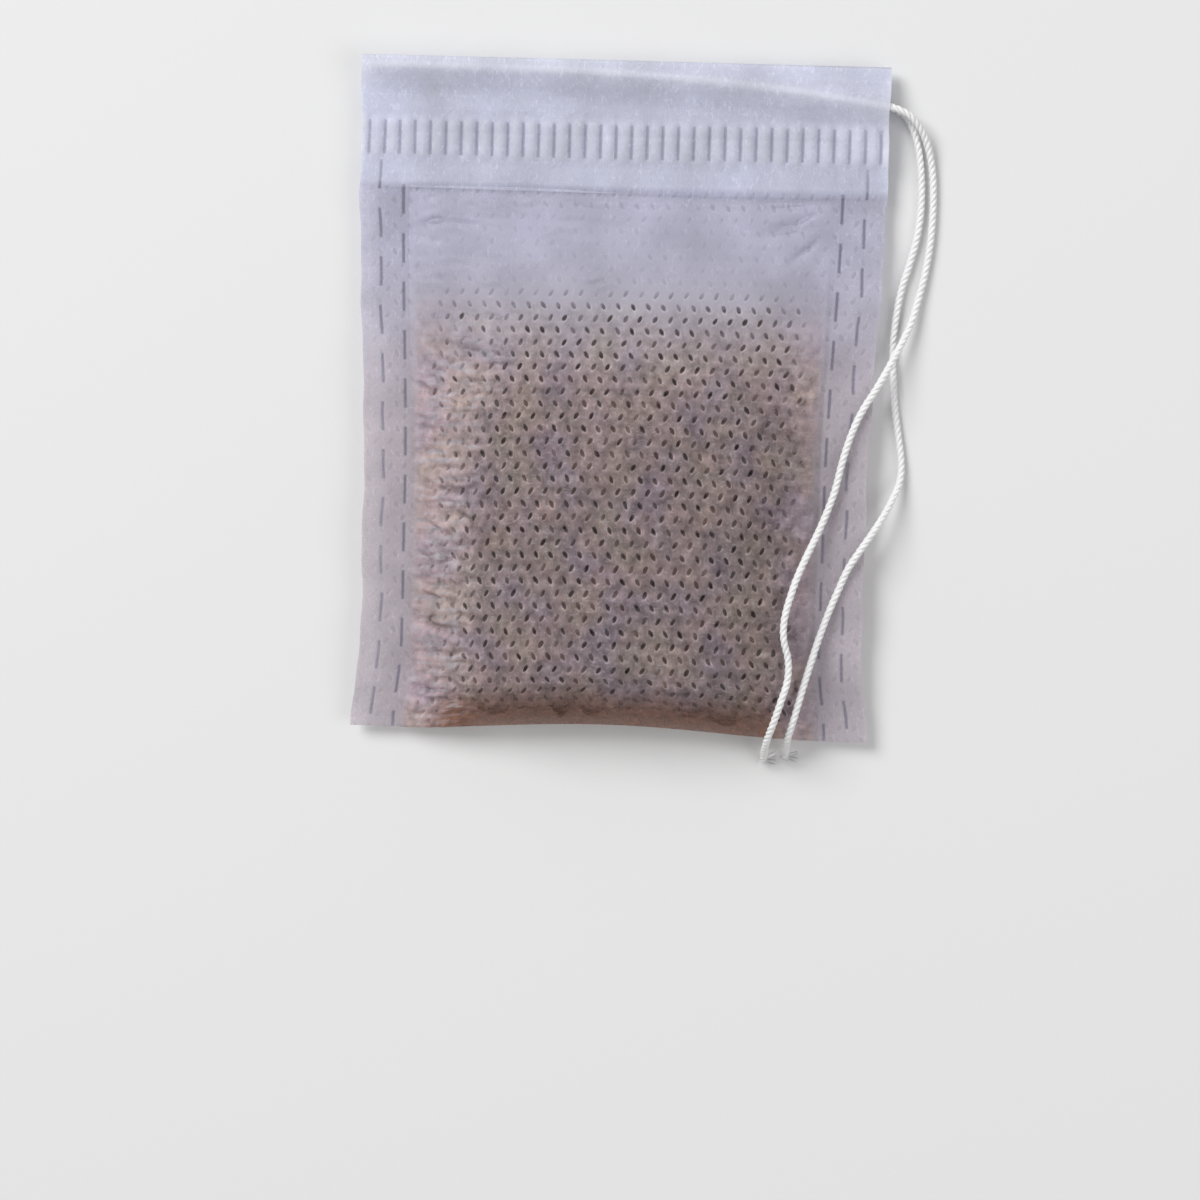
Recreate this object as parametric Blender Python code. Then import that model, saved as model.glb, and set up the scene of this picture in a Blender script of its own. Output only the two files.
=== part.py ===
"""Drawstring tea bag of non-woven filter cloth, filled with hulled buckwheat.

The bag lies on its back. X runs across it, Y from its folded bottom up to its hem, and Z out of its
front. The origin is on the surface that it lies on, under the middle of the bag. Units are metres.
"""

import math

import bmesh
import bpy
from mathutils import Vector

# The cloth, cut as one strip, folded across the bottom and at both hems
BAG_WIDTH = 0.070
BAG_LENGTH = 0.090
CLOTH = 0.0002
MOUTH_GAP = 0.0002
HEM_DEPTH = 0.017

# The side seals, where front and back are welded to each other
SEAM_WIDTH = 0.0066
SEAM_STEP = 0.0006
SEAM_START = 0.010

# The form that the tea gives the lying pouch
FILLED_THICKNESS = 0.0125
FULL_LENGTH = 0.034
BOTTOM_ROUND = 0.009
BACK_ROUND = 0.007
BACK_ROLL = 0.009
BACK_SETTLES_AT = 0.5
SEAM_LIFT = 0.001
SIDE_DRAW = 0.0013
BOTTOM_DRAW = 0.0014
CORNER_LENGTH = 0.012
FRONT_SQUARENESS = 2.6
FRONT_FULLNESS = 0.85
PUFF = 0.0007
PUFF_SIDE = 0.0045
PUFF_END = 0.0040

# The string, and the tunnel that it runs in under each hem's fold
STRING = 0.0010
STRING_PLAY = 0.0003
STRING_BELOW_FOLD = 0.0012
STRING_SLANT = 0.0040
TUNNEL_SPREAD = 0.0030
TUNNEL_OPEN_SHARE = 0.85
TURN_INSET = 0.0020
PIECE_GAP = 0.0004

# The weld marks: bars across the hem, and two staggered rows down each side seal
WELD_WIDTH = 0.00045
WELD_DEPTH = 0.00012
HEM_WELD_LENGTH = 0.0044
HEM_WELD_PITCH = 0.00206
HEM_WELD_BELOW_TOP = 0.0110
SIDE_WELD_LENGTH = 0.0038
SIDE_WELD_PITCH = 0.00645
OUTER_ROW_INSET = 0.0027
INNER_ROW_INSET = 0.0058
OUTER_ROW_START = 0.01595
INNER_ROW_START = 0.01925

# The tea
FILL_LENGTH = 0.059
FILL_PLAY = 0.0005
FILL_EDGE = 0.0021
FILL_END_ROUND = 0.010
FILL_SHOULDER = 0.007
FILL_END_SHARE = 0.2
LEFT_STAND_OFF = 0.0014
LEFT_STAND_WIDTH = 0.011
TOP_STAND_OFF = 0.0015
TOP_STAND_LENGTH = 0.018
KERNEL_SIZE = 0.0044
KERNEL_ROUND = 0.0025
KERNEL_RELIEF = 0.0022
KERNEL_SINK = 0.0005
RELIEF_SHARE = 0.7
KERNEL_SCATTER = 0.0005
SCATTER_ACROSS = (12.9, 7.1)
SCATTER_ALONG = (4.7, 9.3)
SCATTER_DOWN = (8.3, 5.9)

# How finely curved surfaces are divided
POUCH_COLUMNS = 20
ROUND_ROWS = 5
POUCH_ROWS = 11
HEM_ROWS = 10
TUNNEL_ROWS = 8
KERNEL_CELLS = 3
FLATNESS = 0.00001
STRING_SIDES = 8
STRING_STEP = 0.0024
TUNNEL_STEP = 0.0036
TURN_STEPS = 6
ROUTE_FINENESS = 12

HALF_WIDTH = BAG_WIDTH / 2
TOP = BAG_LENGTH / 2
BOTTOM = -BAG_LENGTH / 2
POUCH_HALF = HALF_WIDTH - SEAM_WIDTH
CAVITY_HALF = POUCH_HALF - SEAM_STEP
HEM_EDGE = TOP - HEM_DEPTH
SIDE_OPEN = TOP - SEAM_START
TUNNEL = STRING + 2 * STRING_PLAY
HEM_MIDDLE = MOUTH_GAP / 2 + 2 * CLOTH + TUNNEL
STRING_RISE = MOUTH_GAP / 2 + CLOTH + TUNNEL / 2
KERNEL_ROW = KERNEL_SIZE * math.sqrt(3) / 2
FILL_START = BOTTOM + FILL_EDGE
FILL_END = BOTTOM + FILL_LENGTH

# The routes of the string's two loose ends, from the tunnel's mouth: out to the bag's side, along the
# surface, one over the other, and up over the side seal and the front to the bottom fold.
OVER_END = [
    (0.03470, 0.03985, 0.00320),
    (0.03560, 0.03970, 0.00320),
    (0.03780, 0.03860, 0.00270),
    (0.03980, 0.03590, 0.00145),
    (0.04085, 0.03220, 0.00065),
    (0.04120, 0.02800, 0.00052),
    (0.04110, 0.02290, 0.00052),
    (0.04050, 0.01820, 0.00056),
    (0.03965, 0.01440, 0.00080),
    (0.03880, 0.01130, 0.00130),
    (0.03740, 0.00820, 0.00205),
    (0.03580, 0.00510, 0.00310),
    (0.03440, 0.00260, 0.00380),
    (0.03300, 0.00030, 0.00400),
    (0.03190, -0.00200, 0.00400),
    (0.03090, -0.00490, 0.00410),
    (0.03020, -0.00760, 0.00414),
    (0.02950, -0.01080, 0.00416),
    (0.02860, -0.01360, 0.00422),
    (0.02750, -0.01640, 0.00470),
    (0.02630, -0.01900, 0.00575),
    (0.02510, -0.02170, 0.00685),
    (0.02420, -0.02430, 0.00755),
    (0.02335, -0.02770, 0.00808),
    (0.02330, -0.03050, 0.00808),
    (0.02400, -0.03340, 0.00765),
    (0.02400, -0.03620, 0.00764),
    (0.02320, -0.03910, 0.00785),
    (0.02230, -0.04210, 0.00726),
    (0.02160, -0.04440, 0.00560),
    (0.02130, -0.04600, 0.00350),
    (0.02120, -0.04710, 0.00180),
    (0.02115, -0.04800, 0.00060),
]
UNDER_END = [
    (0.03470, 0.03985, 0.00100),
    (0.03560, 0.03970, 0.00095),
    (0.03765, 0.03810, 0.00065),
    (0.03910, 0.03400, 0.00052),
    (0.03965, 0.02800, 0.00052),
    (0.03930, 0.02330, 0.00052),
    (0.03840, 0.01930, 0.00052),
    (0.03740, 0.01570, 0.00052),
    (0.03680, 0.01180, 0.00052),
    (0.03660, 0.00800, 0.00052),
    (0.03680, 0.00400, 0.00052),
    (0.03710, 0.00050, 0.00052),
    (0.03765, -0.00300, 0.00052),
    (0.03825, -0.00680, 0.00055),
    (0.03820, -0.00950, 0.00090),
    (0.03740, -0.01170, 0.00180),
    (0.03610, -0.01420, 0.00290),
    (0.03460, -0.01660, 0.00378),
    (0.03300, -0.01900, 0.00412),
    (0.03160, -0.02130, 0.00416),
    (0.03060, -0.02370, 0.00416),
    (0.02920, -0.02730, 0.00416),
    (0.02800, -0.03090, 0.00435),
    (0.02690, -0.03460, 0.00525),
    (0.02600, -0.03780, 0.00604),
    (0.02510, -0.04130, 0.00632),
    (0.02440, -0.04410, 0.00505),
    (0.02420, -0.04570, 0.00310),
    (0.02410, -0.04670, 0.00160),
    (0.02405, -0.04750, 0.00060),
]


def clear_scene():
    for item in list(bpy.data.objects):
        bpy.data.objects.remove(item)


def material(name, colour, roughness):
    made = bpy.data.materials.new(name)
    made.use_nodes = True
    shader = made.node_tree.nodes["Principled BSDF"]
    shader.inputs["Base Color"].default_value = (*colour, 1.0)
    shader.inputs["Roughness"].default_value = roughness
    shader.inputs["Metallic"].default_value = 0.0
    return made


def link(name, data, finish=None):
    made = bpy.data.objects.new(name, data)
    bpy.context.scene.collection.objects.link(made)
    if finish is not None:
        data.materials.append(finish)
    return made


def steps(start, end, count):
    """count + 1 evenly spaced values, ends included."""
    return [start + (end - start) * i / count for i in range(count + 1)]


def ease(share):
    share = min(max(share, 0.0), 1.0)
    return share * share * (3 - 2 * share)


def round_end(distance, length):
    """A quarter ellipse: 0 at the end, 1 from length on."""
    share = min(max(distance / length, 0.0), 1.0)
    return math.sqrt(1 - (1 - share) ** 2)


def taper(y):
    """How much of the pouch's fullness is left at y: 1 over the tea, 0 at the hem."""
    full_to = BOTTOM + FULL_LENGTH
    return 1 - ease((y - full_to) / (HEM_EDGE - full_to))


def drawn(y):
    """How far the full pouch has pulled its seals in and up, as a share."""
    return ease((y - BOTTOM) / CORNER_LENGTH) * taper(y)


def seam_plane(y):
    """The height of the middle of the cloth in the side seals."""
    return HEM_MIDDLE + SEAM_LIFT * drawn(y)


def string_line(x):
    """Where the string lies in the tunnel: against the fold at the left, lower at its mouth."""
    share = (x + HALF_WIDTH) / BAG_WIDTH
    return TOP - STRING_BELOW_FOLD - STRING_SLANT * share**3


def tunnel_height(x, y):
    """How far the hem's outer layer stands off its inner one, over the string."""
    reach = min(abs(y - string_line(x)) / TUNNEL_SPREAD, 1.0)
    return TUNNEL * math.cos(reach * math.pi / 2) ** 2


def flat_half(u, y):
    """Half of the bag's thickness where nothing fills it."""
    layers = 1 + ease((y - HEM_EDGE + HEM_WELD_LENGTH) / HEM_WELD_LENGTH)
    parted = min(max((POUCH_HALF - abs(u)) / SEAM_STEP, 0.0), 1.0)
    if y >= SIDE_OPEN:
        parted = 1.0
    return layers * CLOTH + parted * MOUTH_GAP / 2


def puff(u, y):
    """How far the front stands up where the pouch is empty, between the tea and the hem."""
    from_sides = ease((POUCH_HALF - abs(u)) / PUFF_SIDE)
    from_hem = ease((HEM_EDGE - y) / PUFF_END)
    return PUFF * from_sides * from_hem * ease((y - FILL_END) / PUFF_END)


def front_height(u, y, inset=0.0):
    """The front's height over the point u across and y along, inset into the cloth or the tea."""
    base = seam_plane(y) + puff(u, y)
    half = max(POUCH_HALF - inset, SEAM_STEP)
    across = max(1 - (abs(u) / half) ** FRONT_SQUARENESS, 0.0) ** FRONT_FULLNESS
    rise = (FILLED_THICKNESS - seam_plane(y) - CLOTH) * taper(y) * across
    return base + flat_half(u, y) - inset + rise * round_end(y - BOTTOM - inset, BOTTOM_ROUND)


def back_height(u, y, inset=0.0):
    """The back's height: down on the surface under the tea, and rolled up to the seals round it."""
    base = seam_plane(y)
    half = max(POUCH_HALF - inset, SEAM_STEP)
    across = ease((half - abs(u)) / BACK_ROLL)
    settled = ease(taper(y) / BACK_SETTLES_AT)
    fall = (base - flat_half(0.0, y)) * settled * across
    return base - flat_half(u, y) + inset - fall * round_end(y - BOTTOM - inset, BACK_ROUND)


def plan(u, y):
    """Where the flat cloth's point (u, y) lies in plan, once the full pouch has drawn it in."""
    x = u * (1 - SIDE_DRAW * drawn(y) / HALF_WIDTH)
    arch = max(1 - (u / POUCH_HALF) ** 2, 0.0) ** 2
    lift = BOTTOM_DRAW * arch * (1 - ease((y - BOTTOM) / (2 * CORNER_LENGTH)))
    return x, y + lift


def twisted(face):
    """Whether a four-cornered face is too far from flat to be cut as it is."""
    first, *_, last = [corner.vert.co for corner in face.loops]
    return abs((last - first).dot(face.loops[1].calc_normal())) > FLATNESS


def slab(name, across, along, top_point, bottom_point, keep=None, finish=None):
    """A closed solid over a grid: a top and a bottom sheet, joined by walls round the kept cells."""
    mesh = bpy.data.meshes.new(name)
    bm = bmesh.new()
    cells = [
        (i, j)
        for i in range(len(across) - 1)
        for j in range(len(along) - 1)
        if keep is None or keep(across[i], across[i + 1], along[j], along[j + 1])
    ]
    corners = sorted({(i + di, j + dj) for i, j in cells for di in (0, 1) for dj in (0, 1)})
    top = {c: bm.verts.new(top_point(across[c[0]], along[c[1]])) for c in corners}
    low = {c: bm.verts.new(bottom_point(across[c[0]], along[c[1]])) for c in corners}
    sides = {}
    for i, j in cells:
        ring = [(i, j), (i + 1, j), (i + 1, j + 1), (i, j + 1)]
        bm.faces.new([top[c] for c in ring])
        bm.faces.new([low[c] for c in reversed(ring)])
        for a, b in zip(ring, ring[1:] + ring[:1]):
            sides[frozenset((a, b))] = None if frozenset((a, b)) in sides else (a, b)
    for a, b in filter(None, sides.values()):
        bm.faces.new([top[b], top[a], low[a], low[b]])
    bmesh.ops.recalc_face_normals(bm, faces=bm.faces)
    bmesh.ops.triangulate(bm, faces=[face for face in bm.faces if twisted(face)])
    bm.to_mesh(mesh)
    bm.free()
    return link(name, mesh, finish)


def cut(body, cutter):
    """The cutter is taken out of the body, and stays in the file as a guide."""
    cutter.hide_render = True
    cutter.display_type = "WIRE"
    modifier = body.modifiers.new(cutter.name, "BOOLEAN")
    modifier.operation = "DIFFERENCE"
    modifier.solver = "EXACT"
    modifier.object = cutter


def pouch_rows(start, rounding):
    """Places along the pouch from start: close together round the bottom fold, wider up to the hem."""
    curved = [
        start + rounding * (1 - math.cos(math.pi / 2 * i / ROUND_ROWS)) for i in range(ROUND_ROWS)
    ]
    return curved + steps(start + rounding, HEM_EDGE - HEM_WELD_LENGTH, POUCH_ROWS)


def columns(half):
    return steps(-half, half, POUCH_COLUMNS)


def make_cloth_form(finish):
    """The bag's outer form, before its inside, its tunnels and its weld marks are cut."""
    across = [-HALF_WIDTH, -POUCH_HALF, *columns(CAVITY_HALF), POUCH_HALF, HALF_WIDTH]
    along = pouch_rows(BOTTOM, BOTTOM_ROUND)
    along += [HEM_EDGE - HEM_WELD_LENGTH / 2, HEM_EDGE, SIDE_OPEN - CLOTH]
    along += steps(SIDE_OPEN, TOP, HEM_ROWS)

    def over(u, y):
        x, lifted = plan(u, y)
        return x, lifted, front_height(u, y) + tunnel_height(x, y)

    def under(u, y):
        x, lifted = plan(u, y)
        return x, lifted, back_height(u, y) - tunnel_height(x, y)

    return slab("bag", across, along, over, under, finish=finish)


def make_inside():
    """The room inside the pouch, with the slit between the hems that it opens through.

    Above the side seals the slit runs out through both sides of the bag as well as its top.
    """
    clear = HALF_WIDTH + SEAM_WIDTH
    across = [-clear, *columns(CAVITY_HALF), clear]
    along = pouch_rows(BOTTOM + CLOTH, BOTTOM_ROUND)
    along += [HEM_EDGE - HEM_WELD_LENGTH / 2, HEM_EDGE - CLOTH / 2, HEM_EDGE + CLOTH / 2]
    along += [SIDE_OPEN + CLOTH, TOP + SEAM_WIDTH]

    def inset(y):
        return CLOTH if y < HEM_EDGE else 2 * CLOTH

    def over(u, y):
        x, lifted = plan(u, y)
        if y > SIDE_OPEN:
            return x, lifted, HEM_MIDDLE + MOUTH_GAP / 2
        return x, lifted, front_height(u, y, inset(y))

    def under(u, y):
        x, lifted = plan(u, y)
        if y > SIDE_OPEN:
            return x, lifted, HEM_MIDDLE - MOUTH_GAP / 2
        return x, lifted, back_height(u, y, inset(y))

    def keep(u0, u1, y0, y1):
        return max(abs(u0), abs(u1)) <= CAVITY_HALF + CLOTH or y0 > SIDE_OPEN

    return slab("inside", across, along, over, under, keep=keep)


def make_tunnel(name, side):
    """One hem's tunnel, along the string's line. side is 1 for the front hem and -1 for the back."""
    across = [-HALF_WIDTH - SEAM_WIDTH, *columns(HALF_WIDTH), HALF_WIDTH + SEAM_WIDTH]
    along = steps(-1.0, 1.0, TUNNEL_ROWS)
    floor = HEM_MIDDLE + side * (MOUTH_GAP / 2 + CLOTH)

    def place(x, share):
        reach = TUNNEL_SPREAD * TUNNEL_OPEN_SHARE * share
        return min(string_line(x) + reach, TOP - CLOTH * (2 - share))

    def roof(x, share):
        y = place(x, share)
        return x, y, floor + side * tunnel_height(x, y)

    def base(x, share):
        return x, place(x, share), floor

    return slab(name, across, along, roof, base)


def make_turn_room():
    """The hems' inner layers stop short at the left end, where the string turns from front to back."""
    reach = STRING_RISE - STRING_PLAY
    x_end = -HALF_WIDTH + TURN_INSET
    y_low = string_line(x_end) - STRING
    high = HEM_MIDDLE + reach
    low = HEM_MIDDLE - reach
    return slab(
        "turn_room",
        [-HALF_WIDTH - SEAM_WIDTH, x_end],
        [y_low, TOP - CLOTH - MOUTH_GAP / 2],
        lambda x, y: (x, y, high),
        lambda x, y: (x, y, low),
    )


def weld_places():
    """Each weld bar as (u across, y of its middle, its length)."""
    count = round(BAG_WIDTH / HEM_WELD_PITCH)
    first = -HEM_WELD_PITCH * (count - 1) / 2
    for i in range(count):
        yield first + i * HEM_WELD_PITCH, TOP - HEM_WELD_BELOW_TOP, HEM_WELD_LENGTH
    for inset, start in ((OUTER_ROW_INSET, OUTER_ROW_START), (INNER_ROW_INSET, INNER_ROW_START)):
        rows = int((BAG_LENGTH - start - SIDE_WELD_LENGTH) / SIDE_WELD_PITCH) + 1
        for side in (-1, 1):
            for j in range(rows):
                yield side * (HALF_WIDTH - inset), TOP - start - j * SIDE_WELD_PITCH, SIDE_WELD_LENGTH


def make_welds(name, height, side):
    """Every weld bar on one face, as blocks that reach WELD_DEPTH into the cloth. side is 1 on the front."""
    mesh = bpy.data.meshes.new(name)
    bm = bmesh.new()
    for u, middle, length in weld_places():
        rings = []
        for y in (middle - length / 2, middle + length / 2):
            x, along = plan(u, y)
            surface = height(u, y)
            deep = surface - side * WELD_DEPTH
            clear = surface + side * (CLOTH + WELD_DEPTH)
            rings.append(
                [
                    bm.verts.new((x - WELD_WIDTH / 2, along, deep)),
                    bm.verts.new((x + WELD_WIDTH / 2, along, deep)),
                    bm.verts.new((x + WELD_WIDTH / 2, along, clear)),
                    bm.verts.new((x - WELD_WIDTH / 2, along, clear)),
                ]
            )
        start, end = rings
        bm.faces.new(start)
        bm.faces.new(end)
        for k in range(4):
            bm.faces.new([start[k], start[(k + 1) % 4], end[(k + 1) % 4], end[k]])
    bmesh.ops.recalc_face_normals(bm, faces=bm.faces)
    bm.to_mesh(mesh)
    bm.free()
    return link(name, mesh)


def make_bag():
    """One strip of cloth: bottom fold, two hems turned in over the string, two welded sides."""
    cloth = material("filter_cloth", (0.78, 0.78, 0.84), 0.85)
    bag = make_cloth_form(cloth)
    cut(bag, make_inside())
    cut(bag, make_tunnel("front_tunnel", 1))
    cut(bag, make_tunnel("back_tunnel", -1))
    cut(bag, make_turn_room())
    cut(bag, make_welds("front_welds", front_height, 1))
    cut(bag, make_welds("back_welds", back_height, -1))
    return bag


def kernel_dip(u, y):
    """How far the heap's skin lies below the cloth at (u, y), over kernels packed in staggered rows."""
    start = FILL_START - KERNEL_ROW * 2 / KERNEL_CELLS
    row = round((y - start) / KERNEL_ROW)
    dip = KERNEL_RELIEF
    for j in (row - 1, row, row + 1):
        shift = KERNEL_SIZE / 2 * (j % 2)
        first = round((u - shift) / KERNEL_SIZE)
        for i in (first - 1, first, first + 1):
            aside = math.sin(SCATTER_ACROSS[0] * i + SCATTER_ACROSS[1] * j)
            ahead = math.sin(SCATTER_ALONG[0] * i + SCATTER_ALONG[1] * j)
            down = math.sin(SCATTER_DOWN[0] * i + SCATTER_DOWN[1] * j)
            from_u = u - (i * KERNEL_SIZE + shift + KERNEL_SCATTER * aside)
            from_y = y - (start + j * KERNEL_ROW + KERNEL_SCATTER * ahead)
            fall = KERNEL_ROUND - math.sqrt(max(KERNEL_ROUND**2 - from_u**2 - from_y**2, 0.0))
            dip = min(dip, fall + KERNEL_SINK * (1 + down) / 2)
    left = ease((LEFT_STAND_WIDTH - POUCH_HALF - u) / (LEFT_STAND_WIDTH / 2))
    top = ease((y - FILL_END + TOP_STAND_LENGTH) / TOP_STAND_LENGTH)
    return dip + LEFT_STAND_OFF * left + TOP_STAND_OFF * top


def make_tea():
    """The hulled buckwheat, as the one heap that it lies in, with the kernels' tops on its upper skin.

    The skin's points lie in staggered rows like the kernels, three to a kernel each way, so that one
    falls on each kernel's top.
    """
    finish = material("buckwheat", (0.36, 0.26, 0.17), 0.75)
    inset = CLOTH + FILL_PLAY
    cell = KERNEL_SIZE / KERNEL_CELLS
    row_step = KERNEL_ROW / KERNEL_CELLS
    side_cells = round((POUCH_HALF - FILL_EDGE) / cell)
    half = side_cells * cell
    end_row = round((FILL_END - FILL_START) / row_step)
    across = [k * cell for k in range(-side_cells, side_cells + 1)]
    along = [FILL_START + r * row_step for r in range(end_row + 1)]

    def closing(y):
        return round_end(along[-1] - y, FILL_END_ROUND)

    def middle(u, y):
        return (front_height(u, y, inset) + back_height(u, y, inset)) / 2

    def placed(u, y):
        odd = round((y - FILL_START) / row_step) % 2
        if odd and abs(u) < half - cell / 2:
            u += cell / 2
        return u * (1 - FILL_SHOULDER / half * (1 - closing(y)))

    def over(u, y):
        u = placed(u, y)
        x, lifted = plan(u, y)
        room = front_height(u, y, inset) - middle(u, y)
        height = room * max(closing(y), FILL_END_SHARE) - min(kernel_dip(u, y), room * RELIEF_SHARE)
        return x, lifted, middle(u, y) + max(height, FILL_PLAY)

    def under(u, y):
        u = placed(u, y)
        x, lifted = plan(u, y)
        room = middle(u, y) - back_height(u, y, inset)
        return x, lifted, middle(u, y) - max(room * max(closing(y), FILL_END_SHARE), FILL_PLAY)

    return slab("tea_filling", across, along, over, under, finish=finish)


def smooth_route(points, step):
    """Evenly spaced points on a smooth curve through the given ones."""
    line = [Vector(p) for p in points]
    padded = [2 * line[0] - line[1], *line, 2 * line[-1] - line[-2]]
    fine = []
    for p0, p1, p2, p3 in zip(padded, padded[1:], padded[2:], padded[3:]):
        for k in range(ROUTE_FINENESS):
            t = k / ROUTE_FINENESS
            bend = 2 * p0 - 5 * p1 + 4 * p2 - p3
            close = 3 * p1 - p0 - 3 * p2 + p3
            fine.append(p1 + 0.5 * ((p2 - p0) * t + bend * t**2 + close * t**3))
    fine.append(line[-1])
    lengths = [(b - a).length for a, b in zip(fine, fine[1:])]
    count = max(round(sum(lengths) / step), 2)
    wanted = [sum(lengths) * i / count for i in range(count + 1)]
    route, done, k = [fine[0]], 0.0, 0
    for distance in wanted[1:-1]:
        while done + lengths[k] < distance:
            done += lengths[k]
            k += 1
        route.append(fine[k].lerp(fine[k + 1], (distance - done) / lengths[k]))
    return [*route, fine[-1]]


def make_string(name, points, finish):
    """A round cotton string along the points."""
    curve = bpy.data.curves.new(name, "CURVE")
    curve.dimensions = "3D"
    curve.bevel_depth = STRING / 2
    curve.bevel_resolution = STRING_SIDES // 4
    curve.use_fill_caps = True
    spline = curve.splines.new("POLY")
    spline.points.add(len(points) - 1)
    for place, point in zip(spline.points, points):
        place.co = (*point, 1.0)
    return link(name, curve, finish)


def tunnel_route():
    """From the mouth of the front tunnel to its left end, round the inner layers, and back below."""
    mouth = OVER_END[0][0] - PIECE_GAP
    turn_radius = STRING_RISE
    turn_x = -HALF_WIDTH + STRING / 2 + PIECE_GAP + turn_radius
    straight = steps(mouth, turn_x, round((mouth - turn_x) / TUNNEL_STEP))
    out = [(x, string_line(x), HEM_MIDDLE + STRING_RISE) for x in straight]
    turn = []
    for k in range(1, TURN_STEPS):
        angle = math.pi * k / TURN_STEPS
        x = turn_x - turn_radius * math.sin(angle)
        turn.append((x, string_line(turn_x), HEM_MIDDLE + turn_radius * math.cos(angle)))
    back = [(x, string_line(x), HEM_MIDDLE - STRING_RISE) for x in reversed(straight)]
    return out + turn + back


def make_drawstring():
    """One string: its loop inside the hems, and the two loose ends that leave the right side."""
    cotton = material("cotton", (0.90, 0.89, 0.87), 0.9)
    make_string("drawstring_loop", tunnel_route(), cotton)
    make_string("drawstring_over_end", smooth_route(OVER_END, STRING_STEP), cotton)
    make_string("drawstring_under_end", smooth_route(UNDER_END, STRING_STEP), cotton)


clear_scene()
make_bag()
make_tea()
make_drawstring()
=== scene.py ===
"""A drawstring tea bag of white non-woven cloth, filled with hulled buckwheat, lying on its back.

X runs across the bag, Y from its folded bottom up to its hem, and Z out of its front. Units are metres.
"""

import math

import bmesh
import bpy
import numpy as np
from mathutils import Matrix, Vector
from mathutils.bvhtree import BVHTree


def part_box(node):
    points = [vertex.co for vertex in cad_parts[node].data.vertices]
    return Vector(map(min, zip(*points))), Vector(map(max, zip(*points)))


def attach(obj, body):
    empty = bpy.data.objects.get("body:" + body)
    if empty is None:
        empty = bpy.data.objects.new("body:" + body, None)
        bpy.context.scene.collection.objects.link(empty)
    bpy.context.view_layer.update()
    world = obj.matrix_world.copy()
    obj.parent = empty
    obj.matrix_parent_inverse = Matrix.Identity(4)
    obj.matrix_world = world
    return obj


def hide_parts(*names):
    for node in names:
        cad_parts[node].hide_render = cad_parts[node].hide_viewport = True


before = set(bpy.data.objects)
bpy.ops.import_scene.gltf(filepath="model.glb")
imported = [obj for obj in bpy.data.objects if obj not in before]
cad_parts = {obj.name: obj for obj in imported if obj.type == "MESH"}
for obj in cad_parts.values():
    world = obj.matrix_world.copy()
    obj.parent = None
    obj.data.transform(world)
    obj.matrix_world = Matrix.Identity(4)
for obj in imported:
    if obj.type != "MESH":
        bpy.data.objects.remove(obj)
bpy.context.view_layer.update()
bpy.context.scene.view_settings.view_transform = "Standard"


# The camera. It looks down on the lying bag from near its hem's end, through a long lens, with the bag
# high in the frame and turned a little clockwise, as the photograph shows it.

CAMERA_PLACE = Vector((0.0201, 0.0225, 0.4434))
CAMERA_AIM = Vector((-0.0015, -0.0268, 0.0023))
CAMERA_ROLL = math.radians(1.6)
CAMERA_LENS = 99.0
CAMERA_SENSOR = 36.0
CAMERA_NEAREST = 0.01


def put_in(thing):
    """Puts a new camera, lamp or piece into the scene."""
    bpy.context.scene.collection.objects.link(thing)
    return thing


forward = (CAMERA_AIM - CAMERA_PLACE).normalized()
right = forward.cross(Vector((0, 1, 0))).normalized()
level = Matrix((right, right.cross(forward), -forward)).transposed()
camera_data = bpy.data.cameras.new("camera")
camera_data.lens = CAMERA_LENS
camera_data.sensor_width = CAMERA_SENSOR
camera_data.clip_start = CAMERA_NEAREST
camera = bpy.data.objects.new("camera", camera_data)
camera.matrix_world = Matrix.Translation(CAMERA_PLACE) @ (
    level @ Matrix.Rotation(CAMERA_ROLL, 3, "Z")
).to_4x4()
bpy.context.scene.camera = put_in(camera)


# The string. Soft white cotton, spun in three plies and twisted together, about a millimetre thick.
# One length runs through the front hem, turns at its left end, comes back through the back hem and
# leaves beside its own start at the right. Both ends are cut off blunt, and fray a little.

STRING_THICKNESS = 0.0010
STRING_PLIES = 3
STRING_TWIST = 0.0026
STRING_FUZZ = 5200.0
STRING_COLOUR = (0.795, 0.795, 0.793, 1.0)
STRING_HOLLOW_COLOUR = (0.745, 0.738, 0.730, 1.0)
FRAY_FIBRES = 26
FRAY_SPREAD = 0.55
FRAY_SCALE = (2.2, 2.2, 1.3)
FRAY_START_SHARE = 0.3
FIBRE_RADIUS = 0.000009
FIBRE_SIZES = (0.5, 1.15)
PLY_SIDES = 8
PLY_RADIUS_SHARE = 0.27
PLY_OFFSET_SHARE = 0.235
STEPS_A_TWIST = 10.0
BENDS_A_SPAN = 12
COTTON_FIBRES = 5200.0
COTTON_PATCHES = 260.0
COTTON_NAP = 0.00006
ABOVE_FLOOR = 0.00001
STRING_BELOW_FOLD = 0.0012
STRING_SLANT = 0.0040

CLOTH = 0.0002
MOUTH_GAP = 0.0002
TUNNEL = 0.0016
bag_low, bag_high = (Vector(corner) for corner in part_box("bag"))
HALF_WIDTH = (bag_high.x - bag_low.x) / 2
TOP = bag_high.y
BOTTOM = bag_low.y
HEM_MIDDLE = MOUTH_GAP / 2 + 2 * CLOTH + TUNNEL
STRING_RISE = MOUTH_GAP / 2 + CLOTH + TUNNEL / 2
STRING_TURN_X = -0.0330

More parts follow.
